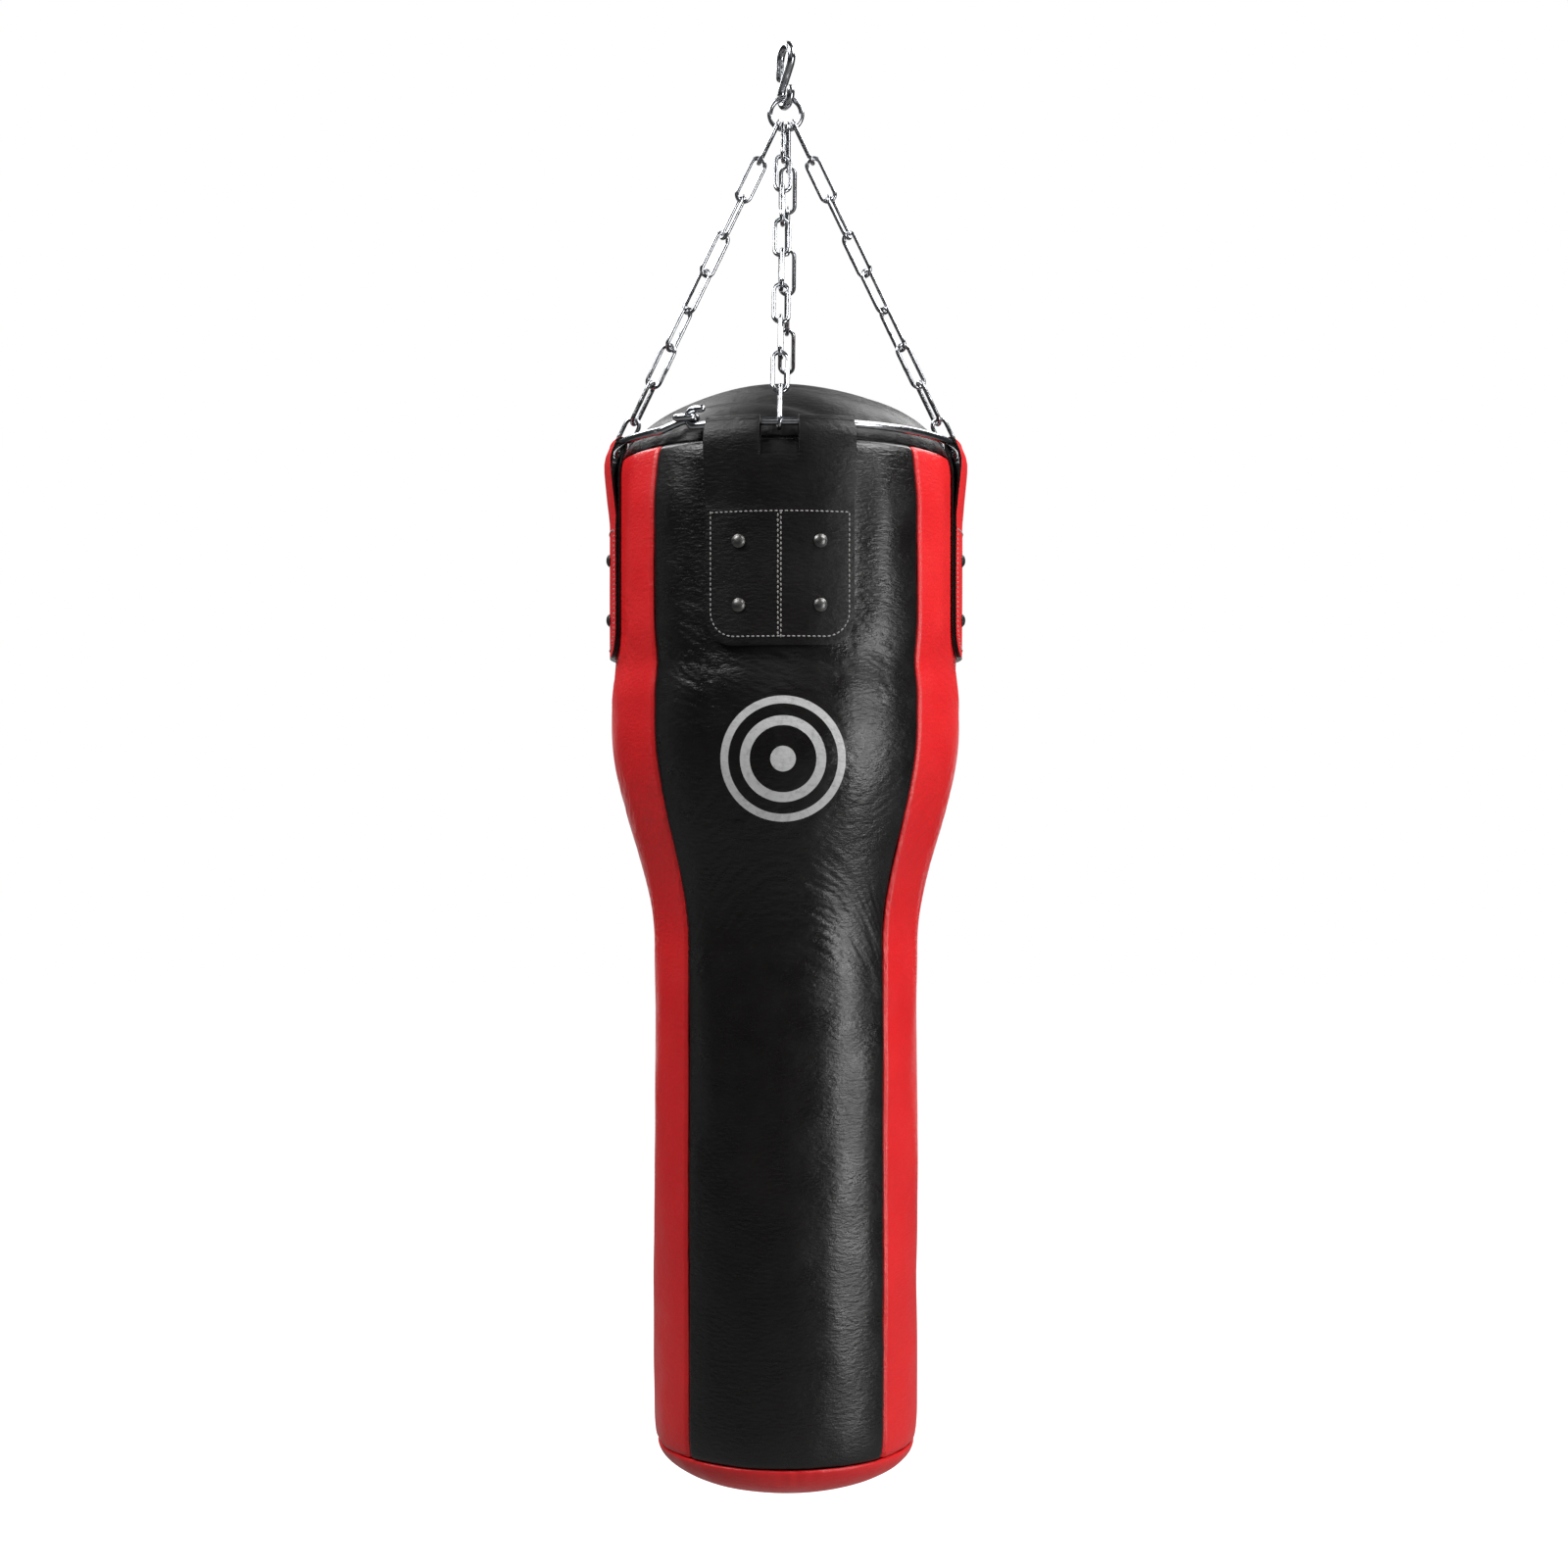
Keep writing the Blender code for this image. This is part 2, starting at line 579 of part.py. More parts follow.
def add_turned_pin(build, outline, frame, sides):
    """Turn an outline of (radius, height) about the frame's Z axis."""
    turns = [math.tau * k / sides for k in range(sides)]
    rows = [[frame @ Vector((r * math.cos(t), r * math.sin(t), h)) for r, h in outline[1:-1]]
            for t in turns]
    grid = add_grid(build, rows, close_rows=True)
    for index, (_, height) in ((0, outline[0]), (-1, outline[-1])):
        tip = build.verts.new(frame @ Vector((0, 0, height)))
        for k in range(sides):
            build.faces.new((tip, grid[k][index], grid[(k + 1) % sides][index]))


# -------------------------------------------------------------- the bag body

def make_panels(leathers, pivot):
    """Four quarter panels, sewn edge to edge, with holes for the rivets."""
    half_gap = GAP / 2 / LOWER_RADIUS
    outline = body_wall(0, WALL, LIP_DROP, BODY_LENGTH)
    for k, name in enumerate(("front", "right", "back", "left")):
        middle = k * math.pi / 2
        start = middle - math.pi / 4 + half_gap
        stop = middle + math.pi / 4 - half_gap
        mesh = turned_sector(f"{name}_panel", outline, start, stop)
        mesh.transform(Matrix.Translation(-pivot.location))
        panel = make_object(f"{name}_panel", mesh, leathers[name], pivot, pivot.location)
        holes = pin_set(f"panel_holes_{name}", math.radians(STRAPS[name]), RIVET_HOLE, pivot)
        boolean(panel, holes, "DIFFERENCE")


def make_top_cover(stuff, pivot):
    """Domed lid of leather, sewn inside the top edge of the panels."""
    height = COVER_HEIGHT + COVER_SKIRT
    rim = HOOP_Z - LIP_DROP + GAP
    share = 2 / math.pi * math.asin(((COVER_SKIRT - LIP_DROP + GAP) / height) ** (COVER_POWER / 2))
    base = HOOP_Z - COVER_SKIRT
    outer = [(r, base + z) for r, z in dome(COVER_RADIUS, height, 6, share)]
    inner = [(r, base + z) for r, z in dome(COVER_RADIUS - WALL, height - WALL, 4, share)]
    inner[0] = (inner[0][0], rim)
    outline = shell_outline(outer, inner)
    mesh = turned_solid("top_cover", outline)
    mesh.transform(Matrix.Translation(-pivot.location))
    make_object("top_cover", mesh, stuff, pivot, pivot.location)


def make_bottom_cap(stuff, pivot):
    rim = HOOP_Z - BODY_LENGTH - GAP
    outer = [(r, rim + z) for r, z in bowl(LOWER_RADIUS, BOTTOM_DEPTH, 5)]
    inner = [(r, rim + z) for r, z in bowl(LOWER_RADIUS - WALL, BOTTOM_DEPTH - WALL, 3)]
    mesh = turned_solid("bottom_cap", shell_outline(outer, inner))
    mesh.transform(Matrix.Translation(-pivot.location))
    make_object("bottom_cap", mesh, stuff, pivot, pivot.location)


def make_liner(stuff, pivot):
    """Sleeve of foam between the leather and the filling."""
    top = LIP_DROP + LIP_HEIGHT / 3
    outline = body_wall(LINER_INSET, LINER_INSET + FOAM_THICKNESS, top,
                        BODY_LENGTH - WALL, lip_steps=2, slope_steps=4)
    mesh = turned_tube("foam_liner", outline, coarse=2)
    mesh.transform(Matrix.Translation(-pivot.location))
    make_object("foam_liner", mesh, stuff, pivot, pivot.location)


def make_fill(stuff, pivot):
    """Packed textile filling, domed at the top and rounded at the bottom."""
    radius = SEAT_RADIUS - FILL_INSET
    height = COVER_HEIGHT + COVER_SKIRT - WALL - FILL_HEADROOM
    top = [(r, HOOP_Z - COVER_SKIRT + z) for r, z in dome(radius, height, 4)]
    drops = body_drops(COVER_SKIRT, BODY_LENGTH, 1, 4)[1:]
    sides = [(body_radius(d) - FILL_INSET, HOOP_Z - d) for d in drops]
    depth = BOTTOM_DEPTH - WALL - FILL_HEADROOM
    end = bowl(LOWER_RADIUS - FILL_INSET, depth, 3)[1:]
    bottom = [(r, HOOP_Z - BODY_LENGTH + z) for r, z in end]
    outline = top[::-1] + sides + bottom
    mesh = turned_solid("textile_fill", outline, coarse=2)
    mesh.transform(Matrix.Translation(-pivot.location))
    make_object("textile_fill", mesh, stuff, pivot, pivot.location)


# ------------------------------------------------------------------- the bag

def make_pivot(name, z):
    empty = bpy.data.objects.new(name, None)
    empty.location = (0, 0, z)
    bpy.context.scene.collection.objects.link(empty)
    return empty


def build_bag():
    for old in list(bpy.data.objects):
        bpy.data.objects.remove(old, do_unlink=True)
    zinc = material("zinc_plated_steel", (0.62, 0.63, 0.65), 0.3, 1.0)
    black = material("black_leather", (0.015, 0.013, 0.013), 0.35)
    red = material("red_leather", (0.75, 0.012, 0.015), 0.35)
    foam = material("foam", (0.75, 0.73, 0.66), 0.9)
    textile = material("textile", (0.4, 0.4, 0.42), 0.95)

    hook_pivot = make_pivot("hook_pivot", 0)
    side_pivot = make_pivot("side_swing_pivot", HOOK_BOTTOM)
    bag_pivot = make_pivot("front_swing_pivot", SWING_Z)
    make_hook(zinc, hook_pivot)
    make_ring(zinc, side_pivot)
    make_chains(zinc, bag_pivot)
    make_hoop(zinc, bag_pivot)
    leathers = {"front": black, "back": black, "left": red, "right": red}
    for name in STRAPS:
        make_strap(name, leathers[name], bag_pivot)
        make_rivets(name, zinc, bag_pivot)
    make_panels(leathers, bag_pivot)
    make_top_cover(black, bag_pivot)
    make_bottom_cap(red, bag_pivot)
    make_liner(foam, bag_pivot)
    make_fill(textile, bag_pivot)


build_bag()
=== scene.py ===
import math

import bmesh
import bpy
from mathutils import Matrix, Vector, noise


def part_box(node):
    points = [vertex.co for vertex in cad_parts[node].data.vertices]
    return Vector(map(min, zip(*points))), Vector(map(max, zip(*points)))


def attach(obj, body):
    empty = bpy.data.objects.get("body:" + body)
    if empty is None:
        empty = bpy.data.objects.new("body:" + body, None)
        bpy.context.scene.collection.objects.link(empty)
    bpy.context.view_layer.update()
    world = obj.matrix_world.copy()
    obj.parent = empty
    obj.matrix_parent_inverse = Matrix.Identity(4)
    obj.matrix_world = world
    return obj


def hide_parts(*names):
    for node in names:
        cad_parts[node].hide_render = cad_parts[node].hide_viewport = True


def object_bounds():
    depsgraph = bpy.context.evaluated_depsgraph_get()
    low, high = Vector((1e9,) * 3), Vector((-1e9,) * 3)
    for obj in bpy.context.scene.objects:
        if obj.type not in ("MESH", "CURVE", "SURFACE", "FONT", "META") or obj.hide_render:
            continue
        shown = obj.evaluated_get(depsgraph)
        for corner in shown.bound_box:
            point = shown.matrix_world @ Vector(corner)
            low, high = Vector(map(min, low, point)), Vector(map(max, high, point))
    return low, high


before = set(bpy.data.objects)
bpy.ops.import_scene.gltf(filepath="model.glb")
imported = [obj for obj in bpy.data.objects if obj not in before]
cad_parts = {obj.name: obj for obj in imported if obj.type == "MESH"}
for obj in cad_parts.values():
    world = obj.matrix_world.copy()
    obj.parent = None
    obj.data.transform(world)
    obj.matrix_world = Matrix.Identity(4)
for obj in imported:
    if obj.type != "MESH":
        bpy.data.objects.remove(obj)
CAD_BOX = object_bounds()

MM = 0.001
SIDES = {"front": -2.0, "right": 94.0, "back": 180.0, "left": -94.0}   # where the straps hang
PANELS = {"front": 0.0, "right": 90.0, "back": 180.0, "left": -90.0}
BLACK_HALF = math.radians(46.3)    # the black panels are a little wider than the red ones

# Metal fittings, with the same sizes as the solids
HOOK_ROD = 4.5 * MM            # rod radius
HOOK_UPPER_BEND = 14.5 * MM    # centreline radius of the upper loop
HOOK_LOWER_BEND = 12.5 * MM
HOOK_TURN = math.radians(25)   # the hook's plane, turned about Z
RING_ROD = 3.0 * MM
RING_RADIUS = 17.5 * MM        # centreline
LINK_WIRE = 2.25 * MM          # wire radius
LINK_PITCH = 46.35 * MM        # inner length
LINK_INNER_WIDTH = 11.0 * MM
LINK_WELD = 0.22 * MM          # how far the weld swells the wire
HOOP_ROD = 4.0 * MM
HOOP_BEND = 2 * HOOP_ROD + 0.5 * MM   # centreline radius of its two hooked ends
HOOP_END = 8.0 * MM            # straight tip of each hooked end
HOOP_JOINT = math.radians(-30.05)

# Places that the frame's boxes give, with the hoop's middle from its rod
HOOP_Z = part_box("hoop")[0][2] + HOOP_ROD
BELLY = -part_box("front_panel")[0][1]
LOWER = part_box("bottom_cap")[1][0]
SEAM_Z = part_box("bottom_cap")[1][2]
BOTTOM_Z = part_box("bottom_cap")[0][2]
DOME_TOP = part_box("top_cover")[1][2]
PANEL_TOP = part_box("front_panel")[1][2]
STRAP_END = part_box("strap_front")[0][2]

# The body's form: radii, then drops below the hoop
SEAT = BELLY - 4.0 * MM        # radius under the straps
HOOP_RADIUS = SEAT - 0.2 * MM
LIP = 38.0 * MM                # where the rounded top edge ends
LIP_HEIGHT = 24.0 * MM
LIP_INSET = 7.0 * MM
SEAT_END = 232.0 * MM
BELLY_TOP = 276.0 * MM
SLOPE_TOP = 302.0 * MM
SLOPE_END = 540.0 * MM
SKIN = 1.6 * MM                # thickness of the leather skin
SEAM_DIP = 2.4 * MM            # how far a panel's edge turns in
ROUND_OFF = 4.0 * MM           # how far the skin has turned in at the bottom seam
ROUND_START = 40.0 * MM        # above the bottom seam
ROUND_REACH = 0.96             # share of the arc that the turn uses, short of level
FOAM_INSET = 5.6 * MM          # from the skin's plain radius to the foam
FOAM_THICKNESS = 12.0 * MM
FILL_INSET = 18.5 * MM
SEAM_WIDTH = 5.0 * MM

# Straps
LEATHER = 3.0 * MM
STRAP_WIDTH = 157.0 * MM
STRAP_CORNER = 30.0 * MM
REAR = SEAT + 1.8 * MM         # middle of the rear leaf
FRONT = SEAT + 5.1 * MM        # middle of the front leaf
FACE = FRONT + LEATHER / 2
BULGE = SEAT + 10.8 * MM       # middle of the front leaf where it stands off most
BULGE_DROP = 16.0 * MM
BULGE_END = 80.0 * MM          # drop at which the leaf lies flat again
NOTCH_HALF = 20.0 * MM
NOTCH_DEPTH = 40.0 * MM
RIVET_SPREAD = 42.0 * MM
RIVET_DROPS = (122.0 * MM, 187.0 * MM)
RIVET_OUTLINE = ((0.0, 3.5), (1.6, 3.42), (3.2, 3.1), (4.7, 2.45), (5.8, 1.6), (6.4, 0.95),
                 (6.75, 0.85), (7.0, 0.55), (6.95, 0.2), (6.4, 0.0), (3.0, 0.0))   # mm
STITCH_STEP = 5.2 * MM
STITCH_SIZE = (1.75 * MM, 0.8 * MM, 0.65 * MM)   # half lengths: along, across, out

# The printed target on the front: its middle as (x, z), and each ring's two radii
PRINT_CENTRE = (-3.0 * MM, HOOP_Z - 343.0 * MM)
PRINT_RINGS = ((56.0 * MM, 64.0 * MM), (34.0 * MM, 44.0 * MM), (0.0, 13.0 * MM))


# ------------------------------------------------------------------ materials

def new_material(name):
    made = bpy.data.materials.new(name)
    made.use_nodes = True
    tree = made.node_tree
    return made, tree.nodes, tree.links, tree.nodes["Principled BSDF"]


def add_node(nodes, kind, **values):
    """A node with some of its settings and unlinked inputs given by name."""
    made = nodes.new(kind)
    for name, value in values.items():
        label = name.replace("_", " ")
        if label in made.inputs:
            made.inputs[label].default_value = value
        else:
            setattr(made, name, value)
    return made


def object_noise(nodes, links, scale, detail=3.0, rough=0.55, stretch=(1, 1, 1)):
    """Noise over the object's own coordinates; returns its value socket."""
    place = nodes.new("ShaderNodeTexCoord")
    mapping = add_node(nodes, "ShaderNodeMapping")
    mapping.inputs["Scale"].default_value = stretch
    links.new(place.outputs["Object"], mapping.inputs["Vector"])
    grain = add_node(nodes, "ShaderNodeTexNoise", Scale=scale, Detail=detail, Roughness=rough)
    links.new(mapping.outputs["Vector"], grain.inputs["Vector"])
    return grain.outputs["Fac"]


def spread(nodes, links, source, low, high, start=0.3, stop=0.7):
    """Map a noise value to a range of numbers."""
    made = nodes.new("ShaderNodeMapRange")
    made.inputs["From Min"].default_value = start
    made.inputs["From Max"].default_value = stop
    made.inputs["To Min"].default_value = low
    made.inputs["To Max"].default_value = high
    links.new(source, made.inputs["Value"])
    return made.outputs["Result"]


def blend_colours(nodes, links, share, first, second):
    made = nodes.new("ShaderNodeMix")
    made.data_type = "RGBA"
    made.inputs["A"].default_value = (*first, 1)
    made.inputs["B"].default_value = (*second, 1)
    links.new(share, made.inputs["Factor"])
    return made.outputs["Result"]


def colour_over(nodes, links, share, below, colour):
    """Lay one colour over a socket's colours, by a share."""
    made = nodes.new("ShaderNodeMix")
    made.data_type = "RGBA"
    links.new(below, made.inputs["A"])
    made.inputs["B"].default_value = (*colour, 1)
    links.new(share, made.inputs["Factor"])
    return made.outputs["Result"]


def add_bump(nodes, links, height, distance, strength, below=None):
    made = nodes.new("ShaderNodeBump")
    made.inputs["Distance"].default_value = distance
    made.inputs["Strength"].default_value = strength
    links.new(height, made.inputs["Height"])
    if below is not None:
        links.new(below, made.inputs["Normal"])
    return made.outputs["Normal"]


def leather(name, colour, shade, roughness, worn, specular=0.45):
    """Glossy synthetic leather: pebbled grain, soft waves and uneven gloss."""
    made, nodes, links, shader = new_material(name)
    tone = spread(nodes, links, object_noise(nodes, links, 7.0, 4.0), 0.0, 1.0)
    base = blend_colours(nodes, links, tone, colour, shade)
    scuffs = spread(nodes, links, object_noise(nodes, links, 38.0, 6.0, 0.7), 0.0, 0.35, 0.56, 0.8)
    links.new(colour_over(nodes, links, scuffs, base, worn), shader.inputs["Base Color"])
    gloss = spread(nodes, links, object_noise(nodes, links, 21.0, 5.0, 0.6),
                   roughness - 0.07, roughness + 0.09)
    links.new(gloss, shader.inputs["Roughness"])
    place = nodes.new("ShaderNodeTexCoord")
    pebble = add_node(nodes, "ShaderNodeTexVoronoi", feature="SMOOTH_F1", Scale=620.0)
    links.new(place.outputs["Object"], pebble.inputs["Vector"])
    waves = add_bump(nodes, links, object_noise(nodes, links, 30.0, 3.0, 0.5), 3.0 * MM, 0.16)
    wrinkles = add_bump(nodes, links, object_noise(nodes, links, 120.0, 4.0, 0.6, (1, 1, 2.6)),
                        1.6 * MM, 0.45, waves)
    grain = add_bump(nodes, links, pebble.outputs["Distance"], 0.35 * MM, 0.3, wrinkles)
    links.new(grain, shader.inputs["Normal"])
    shader.inputs["Specular IOR Level"].default_value = specular
    return made


def add_target_print(made, colour):
    """Plain rings printed on the front: two rings and a dot, worn in places."""
    nodes, links = made.node_tree.nodes, made.node_tree.links
    shader = nodes["Principled BSDF"]
    place = nodes.new("ShaderNodeTexCoord")
    moved = nodes.new("ShaderNodeMapping")
    moved.inputs["Location"].default_value = (-PRINT_CENTRE[0], 0, -PRINT_CENTRE[1])
    moved.inputs["Scale"].default_value = (1, 0, 1)
    links.new(place.outputs["Object"], moved.inputs["Vector"])
    length = nodes.new("ShaderNodeVectorMath")
    length.operation = "LENGTH"
    links.new(moved.outputs["Vector"], length.inputs[0])
    total = None
    for inner, outer in PRINT_RINGS:
        inside = add_node(nodes, "ShaderNodeMath", operation="GREATER_THAN")
        inside.inputs[1].default_value = inner
        within = add_node(nodes, "ShaderNodeMath", operation="LESS_THAN")
        within.inputs[1].default_value = outer
        links.new(length.outputs["Value"], inside.inputs[0])
        links.new(length.outputs["Value"], within.inputs[0])
        ring = add_node(nodes, "ShaderNodeMath", operation="MULTIPLY")
        links.new(inside.outputs[0], ring.inputs[0])
        links.new(within.outputs[0], ring.inputs[1])
        if total is None:
            total = ring.outputs[0]
            continue
        added = add_node(nodes, "ShaderNodeMath", operation="MAXIMUM")
        links.new(total, added.inputs[0])
        links.new(ring.outputs[0], added.inputs[1])
        total = added.outputs[0]
    wear = spread(nodes, links, object_noise(nodes, links, 160.0, 5.0, 0.7), 0.72, 1.0, 0.3, 0.5)
    inked = add_node(nodes, "ShaderNodeMath", operation="MULTIPLY")
    links.new(total, inked.inputs[0])
    links.new(wear, inked.inputs[1])
    under = shader.inputs["Base Color"].links[0].from_socket
    printed = colour_over(nodes, links, inked.outputs[0], under, colour)
    links.new(printed, shader.inputs["Base Color"])


def metal(name, colour, dull, roughness, bump):
    """Plated steel: cloudy tone, fine pits and uneven polish."""
    made, nodes, links, shader = new_material(name)
    tone = spread(nodes, links, object_noise(nodes, links, 120.0, 4.0), 0.0, 1.0)
    links.new(blend_colours(nodes, links, tone, colour, dull), shader.inputs["Base Color"])
    polish = spread(nodes, links, object_noise(nodes, links, 260.0, 3.0),
                    roughness - 0.05, roughness + 0.1)
    links.new(polish, shader.inputs["Roughness"])
    pits = object_noise(nodes, links, 700.0, 3.0)
    links.new(add_bump(nodes, links, pits, 0.2 * MM, bump), shader.inputs["Normal"])
    shader.inputs["Metallic"].default_value = 1.0
    return made


def cloth_like(name, colour, shade, scale, depth):
    """Matt fibrous stuff for thread, foam and filling."""
    made, nodes, links, shader = new_material(name)
    source = object_noise(nodes, links, scale, 5.0, 0.7)
    tone = spread(nodes, links, source, 0.0, 1.0)
    links.new(blend_colours(nodes, links, tone, colour, shade), shader.inputs["Base Color"])
    links.new(add_bump(nodes, links, source, depth, 0.6), shader.inputs["Normal"])
    rough = spread(nodes, links, object_noise(nodes, links, scale / 3), 0.7, 0.95)
    links.new(rough, shader.inputs["Roughness"])
    return made


BLACK = leather("black_leather", (0.0036, 0.0028, 0.0027), (0.0060, 0.0048, 0.0045), 0.29,
                (0.011, 0.010, 0.010))
FRONT_BLACK = leather("printed_black_leather", (0.0036, 0.0028, 0.0027),
                      (0.0060, 0.0048, 0.0045), 0.29, (0.011, 0.010, 0.010))
add_target_print(FRONT_BLACK, (0.6, 0.6, 0.6))
STRAP_BLACK = leather("strap_leather", (0.0036, 0.0029, 0.0028), (0.0058, 0.0047, 0.0045), 0.40,
                      (0.012, 0.011, 0.010), specular=0.3)
COVER_BLACK = leather("cover_leather", (0.0036, 0.0028, 0.0027), (0.0060, 0.0048, 0.0045), 0.43,
                      (0.011, 0.010, 0.010), specular=0.22)
RED = leather("red_leather", (0.80, 0.022, 0.024), (0.69, 0.014, 0.018), 0.36,
              (0.62, 0.035, 0.03))
ZINC = metal("zinc_plate", (0.50, 0.51, 0.53), (0.32, 0.33, 0.35), 0.16, 0.12)
NICKEL = metal("nickel_rivet", (0.17, 0.165, 0.16), (0.10, 0.10, 0.10), 0.38, 0.1)
THREAD = cloth_like("nylon_thread", (0.40, 0.39, 0.38), (0.20, 0.19, 0.19), 900.0, 0.3 * MM)
FOAM = cloth_like("foam", (0.75, 0.72, 0.62), (0.60, 0.57, 0.48), 420.0, 0.6 * MM)
TEXTILE = cloth_like("packed_textile", (0.34, 0.34, 0.36), (0.18, 0.19, 0.22), 150.0, 2.0 * MM)


# --------------------------------------------------------------- mesh helpers

def add_piece(name, points, faces, stuff, body, node=None):
    """A smooth mesh piece that rides on a body and stands for a node of the frame."""
    mesh = bpy.data.meshes.new(name)
    mesh.from_pydata(points, [], faces)
    return finish_piece(name, mesh, stuff, body, node)


def outward_normals(mesh):
    build = bmesh.new()
    build.from_mesh(mesh)
    bmesh.ops.recalc_face_normals(build, faces=build.faces)
    build.to_mesh(mesh)
    build.free()
    mesh.shade_smooth()


def finish_piece(name, mesh, stuff, body, node=None):
    """Make a mesh into a piece. Stitching stands for no node."""
    if isinstance(stuff, (list, tuple)):
        for one in stuff:
            mesh.materials.append(one)
    else:
        mesh.materials.append(stuff)
    outward_normals(mesh)
    piece = bpy.data.objects.new(name, mesh)
    bpy.context.scene.collection.objects.link(piece)
    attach(piece, body)
    if node:
        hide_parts(node)
    return piece


def apply_modifiers(piece):
    """Replace a piece's mesh by the one that its modifiers make."""
    bpy.context.view_layer.update()
    graph = bpy.context.evaluated_depsgraph_get()
    mesh = bpy.data.meshes.new_from_object(piece.evaluated_get(graph))
    piece.modifiers.clear()
    piece.data = mesh
    mesh.shade_smooth()


def make_skin(piece, face, outward):
    """Turn a piece's faces outward, judged by one of them, and thicken it inward."""
    if piece.data.polygons[face].normal.dot(outward) < 0:
        piece.data.flip_normals()
    thick = piece.modifiers.new("thickness", "SOLIDIFY")
    thick.thickness = SKIN
    thick.offset = -1
    apply_modifiers(piece)


def grid_faces(rows, columns, wrap_rows=False, wrap_columns=False):
    faces = []
    for i in range(rows if wrap_rows else rows - 1):
        for j in range(columns if wrap_columns else columns - 1):
            k, m = (i + 1) % rows, (j + 1) % columns
            faces.append((i * columns + j, i * columns + m, k * columns + m, k * columns + j))
    return faces


def tipped_grid(rows, columns):
    """Faces of a turned grid whose last row closes on one more point."""
    tip, last = rows * columns, (rows - 1) * columns
    faces = grid_faces(rows, columns, wrap_columns=True)
    return faces + [(last + j, last + (j + 1) % columns, tip) for j in range(columns)]


def rod_mesh(name, path, radii, sides, side_axis, closed=False):
    """Round rod along a path, its radius given at each point; an open one ends flat."""
    points = []
    count = len(path)
    side = Vector(side_axis)
    for i, point in enumerate(path):
        before = path[i - 1] if closed or i else point
        after = path[(i + 1) % count] if closed or i < count - 1 else point
        along = (after - before).normalized()
        side = (side - along * side.dot(along)).normalized()
        other = along.cross(side)
        for k in range(sides):
            turn = math.tau * k / sides
            points.append(point + radii[i] * (math.cos(turn) * side + math.sin(turn) * other))
    faces = grid_faces(count, sides, wrap_rows=closed, wrap_columns=True)
    if not closed:
        faces.append(tuple(range(sides)))
        faces.append(tuple((count - 1) * sides + k for k in range(sides)))
    mesh = bpy.data.meshes.new(name)
    mesh.from_pydata(points, [], faces)
    return mesh


def round_ends(path, radius, steps=4):
    """Extra points and radii that close a rod's two ends with a rounded nose."""
    first = (path[0] - path[1]).normalized()
    last = (path[-1] - path[-2]).normalized()
    turns = [math.pi / 2 * k / steps for k in range(1, steps + 1)]
    nose = [(radius * math.sin(t), radius * max(math.cos(t), 0.06)) for t in turns]
    head = [(path[0] + first * reach, width) for reach, width in reversed(nose)]
    tail = [(path[-1] + last * reach, width) for reach, width in nose]
    both = head + [(point, radius) for point in path] + tail
    return [point for point, _ in both], [width for _, width in both]


def arc(centre, radius, start, stop, steps):
    turns = (start + (stop - start) * k / steps for k in range(steps + 1))
    return [(centre[0] + radius * math.cos(t), centre[1] + radius * math.sin(t)) for t in turns]


def around(angle, radius, z):
    """A point at an angle from the front, positive towards +X."""
    return Vector((radius * math.sin(angle), -radius * math.cos(angle), z))


def ease(share):
    share = min(max(share, 0.0), 1.0)
    return (1 - math.cos(math.pi * share)) / 2


def curve_through(points, per_span):
    """Smooth curve through 2-D points, a fixed number of steps in each span."""
    padded = [points[0]] + list(points) + [points[-1]]
    line = []
    for i in range(len(points) - 1):
        a, b, c, d = (Vector(p) for p in padded[i:i + 4])
        for k in range(per_span):
            t = k / per_span
            line.append(0.5 * (2 * b + (c - a) * t + (2 * a - 5 * b + 4 * c - d) * t ** 2
                               + (3 * b - a - 3 * c + d) * t ** 3))
    return line + [Vector(points[-1])]


# ------------------------------------------------------------ metal fittings

def make_hook():
    """S-hook between the top and bottom of its box, with rounded ends."""
    rod, upper_bend, lower_bend = HOOK_ROD, HOOK_UPPER_BEND, HOOK_LOWER_BEND
    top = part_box("s_hook")[1][2] - rod
    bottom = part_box("s_hook")[0][2] + rod - 0.2 * MM
    upper = (0.0, top - upper_bend)
    lower = (0.0, bottom + lower_bend)
    lean = math.asin((upper_bend + lower_bend) / (upper[1] - lower[1]))
    tail = [(-upper_bend, upper[1] - 17 * MM), (-upper_bend, upper[1] - 8 * MM)]
    loop = arc(upper, upper_bend, math.pi, -lean, 28)
    middle = [tuple((1 - t) * Vector(loop[-1]) + t * Vector(
        arc(lower, lower_bend, math.pi - lean, 0, 1)[0])) for t in (0.25, 0.5, 0.75)]
    saddle = arc(lower, lower_bend, math.pi - lean, math.tau + math.radians(12), 28)
    forward = Vector((math.sin(HOOK_TURN), -math.cos(HOOK_TURN), 0))
    path = [forward * across + Vector((0, 0, up)) for across, up in tail + loop + middle + saddle]
    path, radii = round_ends(path, rod)
    mesh = rod_mesh("s_hook_steel", path, radii, 20, forward.cross(Vector((0, 0, 1))))
    finish_piece("s_hook_steel", mesh, ZINC, "hook", "s_hook")


def make_ring():
    low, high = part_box("collector_ring")
    centre = (Vector(low) + Vector(high)) / 2
    steps = 72
    outline = arc((0, centre.z), RING_RADIUS, 0, math.tau * (steps - 1) / steps, steps - 1)
    path = [Vector((x, 0, z)) for x, z in outline]
    mesh = rod_mesh("ring_steel", path, [RING_ROD] * len(path), 18, (0, 1, 0), closed=True)
    finish_piece("ring_steel", mesh, ZINC, "ring", "collector_ring")


